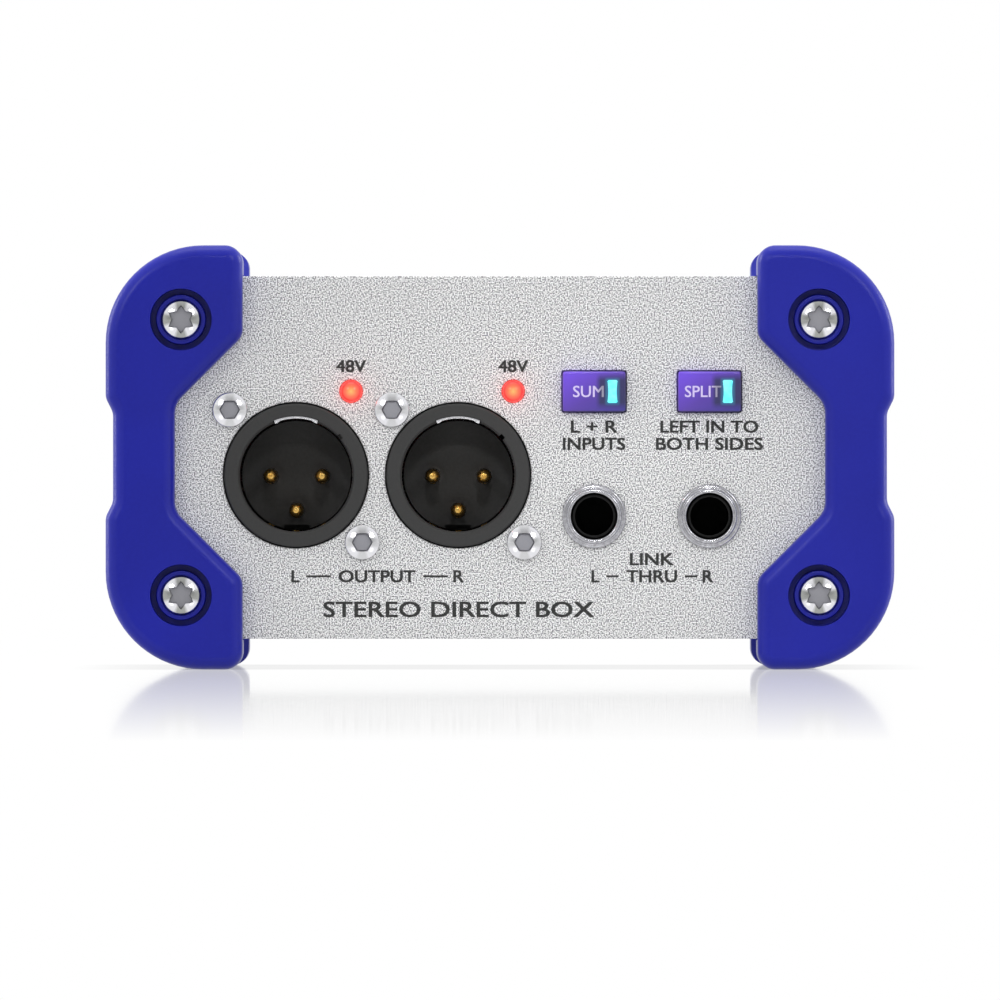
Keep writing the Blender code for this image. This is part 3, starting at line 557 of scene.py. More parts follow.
def gold_plate(fittings):
    """Gold flash over brass contacts: warm, with darker worn patches."""
    made, tree, shader = material("gold_plate", fittings.contact, 0.2, 1.0)
    wear = grain(tree, 0.0004, 3.0)
    colour = blend(tree, spread(tree, wear, 0.4, 0.7), fittings.contact[:], linear("#B98A3C"))
    tree.links.new(colour, shader.inputs["Base Color"])
    tree.links.new(spread(tree, wear, 0.3, 0.7, 0.15, 0.35), shader.inputs["Roughness"])
    return made


def filled_nylon(name, colour, dark, roughness, **sockets):
    """Filled nylon or epoxy: an even matt skin, clouded a little by the flow of the melt."""
    made, tree, shader = material(name, colour, roughness, IOR=1.53, **sockets)
    flow = grain(tree, 0.004, 3.0)
    skin = grain(tree, 0.00025, 2.0, 0.7)
    tint = blend(tree, spread(tree, flow, 0.35, 0.65, 0.0, 0.5), colour[:], dark)
    tree.links.new(tint, shader.inputs["Base Color"])
    matt = spread(tree, skin, 0.3, 0.7, roughness - 0.08, roughness + 0.1)
    tree.links.new(matt, shader.inputs["Roughness"])
    relief(tree, shader, skin, 0.00002, 0.25)
    return made


def tinted_cap(lights, lit):
    """Tinted violet polycarbonate, glossy, with painted shade towards the lower right.

    A lit cap also gets painted shade where its light's holder lies behind it, and a painted
    cyan glow round its window.
    """
    name = "tinted_cap_lit" if lit else "tinted_cap"
    made, tree, shader = material(name, lights.cap, 0.28, Coat_Weight=0.4, Coat_Roughness=0.12)
    across, up = across_face(tree)
    # Painted shade: the cap's colour darkens from its upper left to its lower right
    painted_shade_fall = calc(
        tree, "ADD", calc(tree, "MULTIPLY", across, 0.5),
        calc(tree, "MULTIPLY", calc(tree, "SUBTRACT", 1.0, up), 0.5),
    )
    colour = add(
        tree, "ShaderNodeValToRGB", None, {0: painted_shade_fall},
        [(0.1, lights.cap[:]), (0.55, linear("#5A3AB0")), (0.95, linear("#3A3098"))],
    ).outputs[0]
    if lit:
        off_across = calc(tree, "ABSOLUTE", calc(tree, "SUBTRACT", across, WINDOW_ACROSS))
        off_up = calc(tree, "ABSOLUTE", calc(tree, "SUBTRACT", up, 0.5))
        for near, far, low, high, depth, code in (
            (0.19, 0.27, 0.28, 0.46, 0.9, "#1E2254"),  # painted shade where the light's holder lies behind the cap
            (0.085, 0.13, 0.29, 0.36, 0.45, "#2C9CC8"),  # painted glow of the window's light round the window
        ):
            inside = spread(tree, off_across, near, far, 1.0, 0.0)
            painted_patch = calc(tree, "MULTIPLY", inside, spread(tree, off_up, low, high, 1.0, 0.0))
            colour = blend(tree, calc(tree, "MULTIPLY", painted_patch, depth), colour, linear(code))
    tree.links.new(colour, shader.inputs["Base Color"])
    relief(tree, shader, grain(tree, 0.0006), 0.000004, 0.2)
    return made


def glowing_window(lights):
    """Diffusing polycarbonate over a cyan light: evenly lit, paler in faint random patches."""
    made, tree, shader = material("glowing_window", lights.window, 0.3)
    haze = grain(tree, 0.0008)
    colour = blend(tree, spread(tree, haze, 0.35, 0.65), lights.window[:], linear("#9AFBFF"))
    tree.links.new(colour, shader.inputs["Emission Color"])
    shader.inputs["Base Color"].default_value = (*linear("#2A7F88"), 1)
    shader.inputs["Emission Strength"].default_value = 0.95 * lights.strength
    return made


def glowing_lamp(lights):
    """A diffused red lamp: scarlet at the rim and orange over the chip in its middle.

    It reads the attribute radial, which is 0 in the middle of the lens and 1 at its rim.
    """
    made, tree, shader = material(
        "glowing_lamp", lights.lamp, 0.15, Coat_Weight=0.5, Coat_Roughness=0.05,
    )
    colour = add(
        tree, "ShaderNodeValToRGB", None, {0: attribute(tree, "radial")},
        [(0.0, linear("#FFC46A")), (0.45, linear("#FF7A4A")), (0.8, lights.lamp[:])],
    ).outputs[0]
    tree.links.new(colour, shader.inputs["Emission Color"])
    shader.inputs["Base Color"].default_value = (*linear("#8A1410"), 1)
    shader.inputs["Emission Strength"].default_value = 0.95 * lights.strength
    return made


def print_ink(name, colour):
    """Screen-printing ink: flat and matt, thinner where the mesh of the screen lifted."""
    made, tree, shader = material(name, colour, 0.7, Specular_IOR_Level=0.3)
    lift = grain(tree, 0.0001, 2.0, 0.8)
    paler = tuple(0.8 * c + 0.05 for c in colour)
    ink = blend(tree, spread(tree, lift, 0.45, 0.7), colour[:], paler)
    tree.links.new(ink, shader.inputs["Base Color"])
    return made


def solder_mask():
    """Green solder mask on glass-epoxy laminate, with the weave faint through the gloss."""
    green, pale = linear("#145A32"), linear("#196B3C")
    made, tree, shader = material("solder_mask_laminate", green, 0.35, Coat_Weight=0.3)
    place = add(tree, "ShaderNodeTexCoord").outputs["Object"]
    weave = add(
        tree, "ShaderNodeTexChecker", None,
        {"Vector": place, "Scale": 1 / 0.0012, "Color1": (*green, 1), "Color2": (*pale, 1)},
    ).outputs[0]
    tree.links.new(weave, shader.inputs["Base Color"])
    relief(tree, shader, grain(tree, 0.0006), 0.00002, 0.3)
    return made


def drawn_can():
    """Drawn aluminium can of a capacitor: satin metal with fine streaks along its height."""
    made, tree, shader = material("drawn_aluminium", linear("#B9BCC2"), 0.35, 1.0)
    place = add(tree, "ShaderNodeTexCoord").outputs["Object"]
    scale = (1 / 0.0002, 1 / 0.0002, 1 / 0.006)
    squeezed = add(tree, "ShaderNodeMapping", None, {"Vector": place, "Scale": scale}).outputs[0]
    noise = add(tree, "ShaderNodeTexNoise", None, {"Vector": squeezed, "Scale": 1.0})
    streak = noise.outputs["Fac"]
    tree.links.new(spread(tree, streak, 0.3, 0.7, 0.25, 0.5), shader.inputs["Roughness"])
    return made


def circle(centre, radius, sides):
    """The points of a circle."""
    turn = 2 * math.pi / sides
    return [
        (centre[0] + radius * math.cos(turn * i), centre[1] + radius * math.sin(turn * i))
        for i in range(sides)
    ]


def rounded(corners, step=ARC_STEP):
    """The points of a closed outline, from its corners as (u, v, radius)."""
    points = []
    for index, (u, v, radius) in enumerate(corners):
        corner = Vector((u, v))
        if radius == 0:
            points.append(corner)
            continue
        before = (Vector(corners[index - 1][:2]) - corner).normalized()
        after = (Vector(corners[(index + 1) % len(corners)][:2]) - corner).normalized()
        half = before.angle(after) / 2
        centre = corner + (before + after).normalized() * radius / math.sin(half)
        spoke = corner + before * radius / math.tan(half) - centre
        sweep = math.copysign(math.pi - 2 * half, after.cross(before))
        count = max(1, round(abs(sweep) / step))
        points += [centre + Matrix.Rotation(sweep * i / count, 2) @ spoke for i in range(count + 1)]
    return points


def rectangle(centre, half_width, half_height, radius=0.0):
    """The points of a rectangle with rounded corners."""
    u, v = centre
    return rounded([
        (u - half_width, v - half_height, radius),
        (u + half_width, v - half_height, radius),
        (u + half_width, v + half_height, radius),
        (u - half_width, v + half_height, radius),
    ], math.radians(15))


def as_mesh(shape, matrix=None):
    """A mesh from a bmesh, with its faces outwards and its place applied."""
    bmesh.ops.recalc_face_normals(shape, faces=shape.faces)
    mesh = bpy.data.meshes.new("piece")
    shape.to_mesh(mesh)
    shape.free()
    if matrix:
        mesh.transform(matrix)
    return mesh


def turned(corners, centre, panel, sides=SIDES):
    """A solid of revolution about w, from (radius, w, fillet) corners down its outer side."""
    profile = rounded(corners, math.radians(18))
    solid = corners[0][0] == 0
    shape = bmesh.new()
    rings = []
    for radius, w in profile:
        count = sides if radius > WELD else 1
        ring = circle((0, 0), radius if radius > WELD else 0, count)
        rings.append([shape.verts.new((u, v, w)) for u, v in ring])
    pairs = list(zip(rings, rings[1:]))
    if not solid:
        pairs.append((rings[-1], rings[0]))
    for first, second in pairs:
        for i in range(sides):
            j = (i + 1) % sides
            loop = [
                first[i % len(first)], first[j % len(first)],
                second[j % len(second)], second[i % len(second)],
            ]
            shape.faces.new(list(dict.fromkeys(loop)))
    return as_mesh(shape, PANEL[panel] @ Matrix.Translation((*centre, 0)))


def rod(centre, panel, radius, low, high, fillet=0.0, sides=SIDES):
    """A cylinder along w, with its upper edge rounded."""
    corners = [(0, high, 0), (radius, high, fillet), (radius, low, 0), (0, low, 0)]
    return turned(corners, centre, panel, sides)


def block(low, high, panel, edge=0.0):
    """A box in a panel's axes from its lowest to its highest corner, with its edges rounded."""
    low, high = Vector(low), Vector(high)
    shape = bmesh.new()
    size = Matrix.Diagonal((*(high - low), 1))
    bmesh.ops.create_cube(shape, size=1, matrix=Matrix.Translation((low + high) / 2) @ size)
    if edge:
        bmesh.ops.bevel(
            shape, geom=shape.edges[:], offset=edge, segments=2, profile=0.5, affect="EDGES",
            clamp_overlap=True,
        )
    return as_mesh(shape, PANEL[panel])


def slab(outlines, low, high, panel, rim=0.0, rim_steps=2):
    """A flat outline, with any holes after it, made solid from low to high with rounded rims."""
    flat = bpy.data.curves.new("outline", "CURVE")
    flat.dimensions = "2D"
    flat.fill_mode = "BOTH"
    flat.extrude = (high - low) / 2 - rim
    flat.bevel_depth = rim
    flat.bevel_resolution = rim_steps
    flat.offset = -rim
    for outline in outlines:
        spline = flat.splines.new("POLY")
        spline.points.add(len(outline) - 1)
        for point, (u, v) in zip(spline.points, outline):
            point.co = (u, v, 0, 1)
        spline.use_cyclic_u = True
    shape = bmesh.new()
    shape.from_mesh(mesh_of_data(flat))
    bmesh.ops.remove_doubles(shape, verts=shape.verts, dist=WELD)
    bmesh.ops.recalc_face_normals(shape, faces=shape.faces)
    if len(outlines) == 1:
        bmesh.ops.dissolve_limit(shape, angle_limit=FLAT, verts=shape.verts, edges=shape.edges)
    return as_mesh(shape, PANEL[panel] @ Matrix.Translation((0, 0, (low + high) / 2)))


def place_object(name, data):
    """A new object in the scene."""
    made = bpy.data.objects.new(name, data)
    bpy.context.scene.collection.objects.link(made)
    return made


def evaluated_mesh(made):
    """A new plain mesh of an object with its modifiers applied."""
    return bpy.data.meshes.new_from_object(
        made.evaluated_get(bpy.context.evaluated_depsgraph_get())
    )


def mesh_of(made):
    """The evaluated object as a new mesh, and the object and its modifiers gone."""
    bpy.context.view_layer.update()
    mesh = evaluated_mesh(made)
    bpy.data.objects.remove(made)
    return mesh


def mesh_of_data(data):
    """The mesh of a curve or text, and the curve gone."""
    mesh = mesh_of(place_object("source", data))
    bpy.data.curves.remove(data)
    return mesh


def combined(mesh, operation, *tools):
    """The mesh after an exact Boolean with each tool in turn."""
    body = place_object("body", mesh)
    helpers = []
    for tool in tools:
        helper = place_object("tool", tool)
        helpers.append(helper)
        boolean = body.modifiers.new("Cut", "BOOLEAN")
        boolean.operation = operation
        boolean.solver = "EXACT"
        boolean.object = helper
    made = mesh_of(body)
    for helper in helpers:
        bpy.data.objects.remove(helper)
    if not made.polygons:
        raise RuntimeError("a Boolean left nothing")
    return made


def joined(*meshes):
    """Several separate meshes as one."""
    shape = bmesh.new()
    for mesh in meshes:
        shape.from_mesh(mesh)
    made = bpy.data.meshes.new("piece")
    shape.to_mesh(made)
    shape.free()
    return made


def piece(name, mesh, look, body, nodes, weighted=True):
    """A finished piece: smooth but for its sharp edges, on its body, in place of its CAD nodes."""
    mesh.name = name
    mesh.materials.clear()
    mesh.materials.append(look)
    mesh.shade_smooth()
    mesh.set_sharp_from_angle(angle=SHARP)
    made = place_object(name, mesh)
    if weighted:
        normals = made.modifiers.new("flat_faces_first", "WEIGHTED_NORMAL")
        normals.keep_sharp = True
        made.data = evaluated_mesh(made)
        made.data.name = name
        made.modifiers.clear()
    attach(made, body)
    if nodes:
        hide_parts(*nodes)
    return made


def keep(nodes, look):
    """Gives CAD nodes that stay a finished material."""
    for name in nodes:
        mesh = frame["nodes"][name].data
        mesh.materials.clear()
        mesh.materials.append(look)


def case_outline(grow=0.0):
    """The outline of the case in front view."""
    low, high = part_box("front_panel")
    radius = CASE_RADIUS + grow
    return rounded([
        (low.x - grow, low.z - grow, radius),
        (high.x + grow, low.z - grow, radius),
        (high.x + grow, high.z + grow, radius),
        (low.x - grow, high.z + grow, radius),
    ])


def make_bumper(side, rim):
    """A moulded rubber bumper: lobes and waist in front and in plan, hollowed to fit the case."""
    width, height, depth = EDGE_SIZES["width"], EDGE_SIZES["height"], EDGE_SIZES["depth"]
    outer = width / 2
    lobe, waist = outer - LOBE_REACH, outer - WAIST_REACH
    slope = LOBE_REACH - WAIST_REACH
    channel = outer - WAIST_STEP
    proud = depth / 2 - PANEL_FACE
    lower_half = [
        (waist, LOBE_RISE + slope, WAIST_RADIUS),
        (lobe, LOBE_RISE, LOBE_RADIUS),
        (lobe, 0, LOBE_RADIUS),
        (outer, 0, CORNER_RADIUS),
        (outer, STEP_RISE, STEP_RADIUS),
        (channel, STEP_RISE + STEP_RUN, STEP_RADIUS),
    ]
    upper_half = [(u, height - v, radius) for u, v, radius in reversed(lower_half)]
    outline = [(side * u, v, radius) for u, v, radius in lower_half + upper_half]
    back = -2 * PANEL_FACE
    solid = slab([rounded(outline)], back - proud, proud, "front", rim, 5)

    inner = lobe - OVERCUT
    near = depth / 2 - LOBE_LENGTH
    bay = [
        (inner, -near - OVERCUT, 0),
        (waist, slope - near, WAIST_RADIUS),
        (waist, near - slope, WAIST_RADIUS),
        (inner, near + OVERCUT, 0),
    ]
    bay_outline = rounded([(side * u, v, radius) for u, v, radius in bay])
    bay_cut = slab([bay_outline], -OVERCUT, height + OVERCUT, "front")
    bay_cut.transform(FRONT.inverted())
    pocket = slab([case_outline(GAP)], back - GAP, GAP, "front")
    seats = [
        seat_cutter(place_of(node, panel), panel, proud)
        for node, panel in BUMPER_SCREWS.items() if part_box(node)[0].x * side > 0
    ]
    return combined(solid, "DIFFERENCE", bay_cut, pocket, *seats)


def seat_cutter(place, panel, face):
    """What is cut away for a bumper screw: its bore, and a groove around the bore's collar."""
    bore = half_size("bumper_screw_front_upper_left", "front")[0] + COLLAR_SLACK
    collar = bore + COLLAR_WALL
    rim = collar + GROOVE_WIDTH
    top = face - COLLAR_SINK
    floor = face - GROOVE_DEPTH
    seat = face - SCREW_SINK - SCREW_HEAD_HEIGHT - GAP
    profile = [
        (0, face + OVERCUT, 0),
        (rim, face + OVERCUT, 0),
        (rim, floor, SEAT_FILLET),
        (collar, floor, SEAT_FILLET),
        (collar, top, SEAT_FILLET),
        (bore, top, SEAT_FILLET),
        (bore, seat, 0),
        (SCREW_HOLE_RADIUS, seat, 0),
        (SCREW_HOLE_RADIUS, -OVERCUT, 0),
        (0, -OVERCUT, 0),
    ]
    return turned(profile, place, panel)


def make_panel(panel, holes):
    """An end panel with its holes and softly broken edges."""
    screws = [
        circle(place_of(node, side), SCREW_HOLE_RADIUS, SMALL_SIDES)
        for node, side in BUMPER_SCREWS.items() if side == panel
    ]
    return slab([case_outline(), *screws, *holes], -PANEL_THICKNESS, 0, panel, PANEL_EDGE)


def button_outline(button, panel, grow=0.0):
    """The outline of a cap's face on its panel."""
    cap = button + "_cap"
    half_width, half_height = (half - BUTTON_FLANGE + grow for half in half_size(cap, panel))
    return rectangle(place_of(cap, panel), half_width, half_height, BUTTON_CORNER)


SCREW_INPUTS = {
    "Geometry": ("Geometry",),
    "Float": (
        "Head Radius", "Head Height", "Crown", "Shank Radius", "Shank Length",
        "Recess Tip", "Recess Root", "Recess Depth", "Recess Rim", "Recess Turn", "Turning Marks",
    ),
    "Int": ("Sides",),
    "Material": ("Material",),
}


def extrude(tree, mesh, height, **top):
    """Extrudes a mesh's faces, or its Selection alone: the mesh and its new top."""
    inputs = {"Mesh": mesh, "Offset Scale": height, "Individual": False, **top}
    return add(tree, "GeometryNodeExtrudeMesh", {"mode": "FACES"}, inputs).outputs


def widen(tree, raised, scale):
    """Scales the top of an extruded mesh."""
    inputs = {"Geometry": raised["Mesh"], "Selection": raised["Top"], "Scale": scale}
    return add(tree, "GeometryNodeScaleElements", {"domain": "FACE"}, inputs).outputs[0]


def shut(tree, walls, floor):
    """A mesh closed by its own first face turned over, with the seam merged."""
    under = add(tree, "GeometryNodeFlipFaces", None, {"Mesh": floor}).outputs[0]
    both = add(tree, "GeometryNodeJoinGeometry")
    for part in (walls, under):
        tree.links.new(part, both.inputs[0])
    inputs = {"Geometry": both.outputs[0], "Distance": WELD}
    return add(tree, "GeometryNodeMergeByDistance", None, inputs).outputs[0]


def upright(tree, z):
    """The vector (0, 0, z)."""
    return add(tree, "ShaderNodeCombineXYZ", None, {"Z": z}).outputs[0]


def store(tree, mesh, name, value, kind, domain):
    """A mesh with a value stored as a named attribute."""
    inputs = {"Geometry": mesh, "Name": name, "Value": value}
    settings = {"data_type": kind, "domain": domain}
    return add(tree, "GeometryNodeStoreNamedAttribute", settings, inputs).outputs[0]


def screw_tree():
    """Geometry nodes that put a screw with a starred or hexagonal recess on every point.

    The screw is built upwards from its tip: shank, head, crown and recess. A recess whose root lies
    on the flats of a hexagon of the same tip is a hexagon socket.
    """
    tree = bpy.data.node_groups.new("recessed_screw", "GeometryNodeTree")
    for kind, names in SCREW_INPUTS.items():
        for name in names:
            tree.interface.new_socket(name, in_out="INPUT", socket_type="NodeSocket" + kind)
    tree.interface.new_socket("Geometry", in_out="OUTPUT", socket_type="NodeSocketGeometry")
    given = add(tree, "NodeGroupInput").outputs
    head, head_height, crown = given["Head Radius"], given["Head Height"], given["Crown"]
    tip, rim, depth = given["Recess Tip"], given["Recess Rim"], given["Recess Depth"]
    total = calc(tree, "ADD", given["Shank Length"], head_height)

    radius = given["Shank Radius"]
    foot = add(
        tree, "GeometryNodeMeshCircle", {"fill_type": "NGON"},
        {"Vertices": given["Sides"], "Radius": radius},
    ).outputs[0]
    straight = calc(tree, "MULTIPLY", head_height, calc(tree, "SUBTRACT", 1.0, crown))
    levels = [(radius, given["Shank Length"]), (head, WELD / 10), (head, straight)]
    for (reach, rise), (_, before) in zip(SCREW_CROWN[1:], SCREW_CROWN):
        share = calc(tree, "MULTIPLY", crown, rise - before)
        next_radius = calc(tree, "MULTIPLY", head, reach)
        levels.append((next_radius, calc(tree, "MULTIPLY", head_height, share)))
    stack, top = foot, {}
    for next_radius, height in levels:
        raised = extrude(tree, stack, height, **top)
        stack = widen(tree, raised, calc(tree, "DIVIDE", next_radius, radius))
        radius, top = next_radius, {"Selection": raised["Top"]}
    screw = shut(tree, stack, foot)

    star = add(
        tree, "GeometryNodeCurveStar", None,
        {"Points": 6, "Inner Radius": given["Recess Root"], "Outer Radius": tip},
    ).outputs[0]
    face = add(tree, "GeometryNodeFillCurve", {"mode": "NGONS"}, {"Curve": star}).outputs[0]
    walls = extrude(tree, face, calc(tree, "SUBTRACT", depth, rim))
    flare = calc(tree, "MULTIPLY", rim, 2.0)
    mouth = extrude(tree, walls["Mesh"], flare, Selection=walls["Top"])
    wider = calc(tree, "ADD", 1.0, calc(tree, "DIVIDE", flare, tip))
    punch = add(
        tree, "GeometryNodeTransform", None,
        {"Geometry": shut(tree, widen(tree, mouth, wider), face),
         "Translation": upright(tree, calc(tree, "SUBTRACT", total, depth)),
         "Rotation": upright(tree, given["Recess Turn"])},
    ).outputs[0]
    cut = add(
        tree, "GeometryNodeMeshBoolean", {"operation": "DIFFERENCE", "solver": "EXACT"},
        {"Mesh 1": screw, "Mesh 2": punch},
    ).outputs[0]

    spot = add(tree, "GeometryNodeInputPosition").outputs[0]
    level = add(
        tree, "ShaderNodeVectorMath", {"operation": "MULTIPLY"}, {0: spot, 1: (1.0, 1.0, 0.0)},
    ).outputs[0]
    outwards = add(tree, "ShaderNodeVectorMath", {"operation": "NORMALIZE"}, {0: level}).outputs[0]
    # around: a vector out from the axis, as long as the painted wedge reflection on the head is strong
    marks = add(
        tree, "ShaderNodeVectorMath", {"operation": "SCALE"},
        {0: outwards, "Scale": given["Turning Marks"]},
    ).outputs[0]
    rise = add(tree, "ShaderNodeSeparateXYZ", None, {0: spot}).outputs[2]
    inside = calc(
        tree, "MULTIPLY",
        calc(tree, "LESS_THAN", long(tree, level), tip),
        calc(tree, "LESS_THAN", rise, calc(tree, "SUBTRACT", total, rim)),
    )
    swept = store(tree, cut, "around", marks, "FLOAT_VECTOR", "POINT")
    marked = store(tree, swept, "recess", inside, "FLOAT", "FACE")

    turns = add(
        tree, "GeometryNodeInputNamedAttribute", {"data_type": "FLOAT_VECTOR"}, {"Name": "turn"},
    ).outputs[0]
    set_out = add(
        tree, "GeometryNodeInstanceOnPoints", None,
        {"Points": given["Geometry"], "Instance": marked, "Rotation": turns},
    ).outputs[0]
    real = add(tree, "GeometryNodeRealizeInstances", None, {"Geometry": set_out}).outputs[0]
    coloured = add(
        tree, "GeometryNodeSetMaterial", None, {"Geometry": real, "Material": given["Material"]},
    ).outputs[0]
    add(tree, "NodeGroupOutput", None, {"Geometry": coloured})
    return tree


def screws_mesh(places, **sizes):
    """The screws of one kind as one mesh, from their nodes and panels and the tree's inputs.

    The inputs are named with underscores.
    """
    mesh = bpy.data.meshes.new("screw_points")
    points, turns = [], []
    for node, panel in places:
        low, high = local_box(node, panel)
        points.append(PANEL[panel] @ Vector((*place_of(node, panel), low.z)))
        turns.extend(PANEL[panel].to_euler())
    mesh.from_pydata(points, [], [])
    mesh.attributes.new("turn", "FLOAT_VECTOR", "POINT").data.foreach_set("vector", turns)
    holder = place_object("screw_points", mesh)
    tree = screw_tree()
    modifier = holder.modifiers.new("Screws", "NODES")
    modifier.node_group = tree
    for item in tree.interface.items_tree:
        key = item.name.replace(" ", "_")
        if item.in_out == "INPUT" and key in sizes:
            modifier[item.identifier] = sizes[key]
    made = mesh_of(holder)
    if not made.polygons:
        raise RuntimeError("the screw tree made nothing")
    return made


def cup_radius(xlr):
    """The radius of the cup's wall."""
    return half_size(xlr + "_insert", "front")[0] + 2 * SMALL_GAP


def make_xlr(xlr):
    """The shell of a connector: cup, shoulder, board foot, screw lugs and the notch in its rim."""
    centre = place_of(xlr + "_insert", "front")
    u, v = centre
    low, high = local_box(xlr + "_shell", "front")
    bore = cup_radius(xlr)
    proud, back = high.z, low.z
    face = XLR_FACE_RADIUS - XLR_FACE_GAP
    shoulder = XLR_FACE_RADIUS + XLR_SHOULDER
    profile = [
        (0, proud, 0),
        (face, proud, XLR_RIM),
        (face, BEHIND, 0),
        (shoulder, BEHIND, 0),
        (shoulder, back, 0),
        (0, back, 0),
    ]
    shell = turned(profile, centre, "front", FINE_SIDES)
    foot_low, foot_high = u - XLR_FOOT_HALF_WIDTH, u + XLR_FOOT_HALF_WIDTH
    parts = [block((foot_low, low.y, back), (foot_high, v, BEHIND), "front")]
    reach = (high.x - low.x) / 2
    for end in (-1, 1):
        far = (u + end * reach, v - end * reach)
        corner_low = [min(a, b) for a, b in zip(centre, far)]
        corner_high = [max(a, b) for a, b in zip(centre, far)]
        parts.append(block((*corner_low, BEHIND - XLR_LUG_DEPTH), (*corner_high, BEHIND), "front"))
    shell = combined(shell, "UNION", *parts)

    mouth = [
        (0, proud + OVERCUT, 0),
        (bore + XLR_RIM + OVERCUT, proud + OVERCUT, 0),
        (bore, proud - XLR_RIM, 0),
        (bore, back - OVERCUT, 0),
        (0, back - OVERCUT, 0),
    ]
    cuts = [turned(mouth, centre, "front", FINE_SIDES)]
    for end in ("upper", "lower"):
        screw = f"{xlr}_screw_{end}"
        place, bottom = place_of(screw, "front"), local_box(screw, "front")[0].z - OVERCUT
        cuts.append(rod(place, "front", XLR_SCREW_HOLE_RADIUS, bottom, OVERCUT, 0, SMALL_SIDES))
    spring_low = local_box(xlr + "_ground_spring", "front")[0].z
    seat = arc_band(
        centre, bore - OVERCUT, bore + SPRING_SEAT + SPRING_SEAT_GAP,
        SPRING_HALF_ANGLE + SPRING_SEAT_SLACK,
    )
    cuts.append(slab([seat], spring_low - GAP, proud + OVERCUT, "front"))
    reach_in, width = XLR_NOTCH
    notch = block(
        (bore - OVERCUT, -width / 2, XLR_NOTCH_FLOOR),
        (bore + reach_in, width / 2, proud + OVERCUT), "front",
    )
    swing = Matrix.Translation((*centre, 0)) @ Matrix.Rotation(XLR_NOTCH_ANGLE, 4, "Z")
    notch.transform(FRONT @ swing @ FRONT.inverted())
    return combined(shell, "DIFFERENCE", *cuts, notch)


def arc_band(centre, inner, outer, half_angle, tab=0.0):
    """The outline of a strip bent round a centre, with its ends thickened inwards by the tab."""
    steps = ARC_BAND_STEPS
    angles = [math.pi / 2 + half_angle * (2 * i / steps - 1) for i in range(steps + 1)]
    band = [(outer, angle) for angle in angles]
    for index, angle in enumerate(reversed(angles)):
        end = index in (0, 1, steps - 1, steps)
        band.append((inner - tab if end else inner, angle))
    return [(centre[0] + r * math.cos(a), centre[1] + r * math.sin(a)) for r, a in band]


def make_insert(xlr):
    """The insert at the bottom of the cup, with its keyway and a shallow ring at each contact."""
    low, high = local_box(xlr + "_insert", "front")
    u, v = centre = place_of(xlr + "_insert", "front")
    radius = (high.x - low.x) / 2
    insert = rod(centre, "front", radius, low.z, high.z, INSERT_EDGE, FINE_SIDES)
    cuts = [block(
        (u - KEY_WIDTH / 2, v - radius - OVERCUT, high.z - KEY_DEPTH),
        (u + KEY_WIDTH / 2, v - KEY_FLOOR, high.z + OVERCUT), "front",
    )]
    bore = PIN_RADIUS + SMALL_GAP
    ring_floor = high.z - CONTACT_RING_DEPTH
    profile = [
        (0, high.z + OVERCUT, 0), (CONTACT_RING * bore, high.z + OVERCUT, 0),
        (CONTACT_RING * bore, ring_floor, 0), (bore, ring_floor, 0),
        (bore, low.z - OVERCUT, 0), (0, low.z - OVERCUT, 0),
    ]
    cuts += [turned(profile, pin_place(xlr, number), "front", SMALL_SIDES) for number in PINS]
    return combined(insert, "DIFFERENCE", *cuts)


def pin_place(xlr, number):
    """A pin's middle: its leg hangs down, so its top is what stays put."""
    low, high = local_box(f"{xlr}_pin_{number}", "front")
    return (low.x + high.x) / 2, high.y - PIN_RADIUS


def make_pin(xlr, number):
    """A round contact with a domed tip and the leg that drops to the board."""
    low, high = local_box(f"{xlr}_pin_{number}", "front")
    place = pin_place(xlr, number)
    pin = turned(
        [
            (0, high.z, 0),
            (PIN_RADIUS * 0.35, high.z, PIN_RADIUS * 0.15),
            (PIN_RADIUS * 0.8, high.z - PIN_RADIUS * 0.45, PIN_RADIUS * 0.5),
            (PIN_RADIUS, high.z - PIN_RADIUS * 1.4, PIN_RADIUS * 0.7),
            (PIN_RADIUS, low.z, 0),
            (0, low.z, 0),
        ],
        place, "front", SMALL_SIDES,
    )
    leg = block(
        (place[0] - PIN_LEG / 2, low.y, low.z + PIN_LEG / 2),
        (place[0] + PIN_LEG / 2, place[1], low.z + 1.5 * PIN_LEG), "front",
    )
    return combined(pin, "UNION", leg)


def make_spring(xlr):
    """The ground spring: a strip bent to the cup's wall, with its ends folded in."""
    low, high = local_box(xlr + "_ground_spring", "front")
    outer = cup_radius(xlr) + SPRING_SEAT
    outline = arc_band(
        place_of(xlr + "_insert", "front"), outer - SPRING_THICKNESS, outer,
        SPRING_HALF_ANGLE, SPRING_TAB - SPRING_THICKNESS,
    )
    return slab([outline], low.z, high.z, "front")


def lens_radius(lamp):
    """The radius of a lamp's lens, which is narrower than its flange."""
    return half_size(lamp, "front")[0] - LAMP_FLANGE


def make_lamp(lamp):
    """A lamp: domed lens, cylinder and the flange on its board."""
    low, high = local_box(lamp, "front")
    flange, radius = (high.x - low.x) / 2, lens_radius(lamp)
    flange_top = low.z + LAMP_FLANGE_THICKNESS
    profile = []
    for i in range(LAMP_DOME_STEPS + 1):
        angle = math.pi / 2 * i / LAMP_DOME_STEPS
        drop = radius * LAMP_DOME * (1 - math.cos(angle))
        profile.append((radius * math.sin(angle), high.z - drop, 0))
    profile += [
        (radius, flange_top, 0), (flange, flange_top, 0), (flange, low.z, 0), (0, low.z, 0),
    ]
    centre = place_of(lamp, "front")
    mesh = turned(profile, centre, "front", SMALL_SIDES)
    radial = mesh.attributes.new("radial", "FLOAT", "POINT").data
    to_panel = FRONT.inverted()
    for vertex, value in zip(mesh.vertices, radial):
        spot = to_panel @ vertex.co
        value.value = math.hypot(spot.x - centre[0], spot.y - centre[1]) / radius
    return mesh


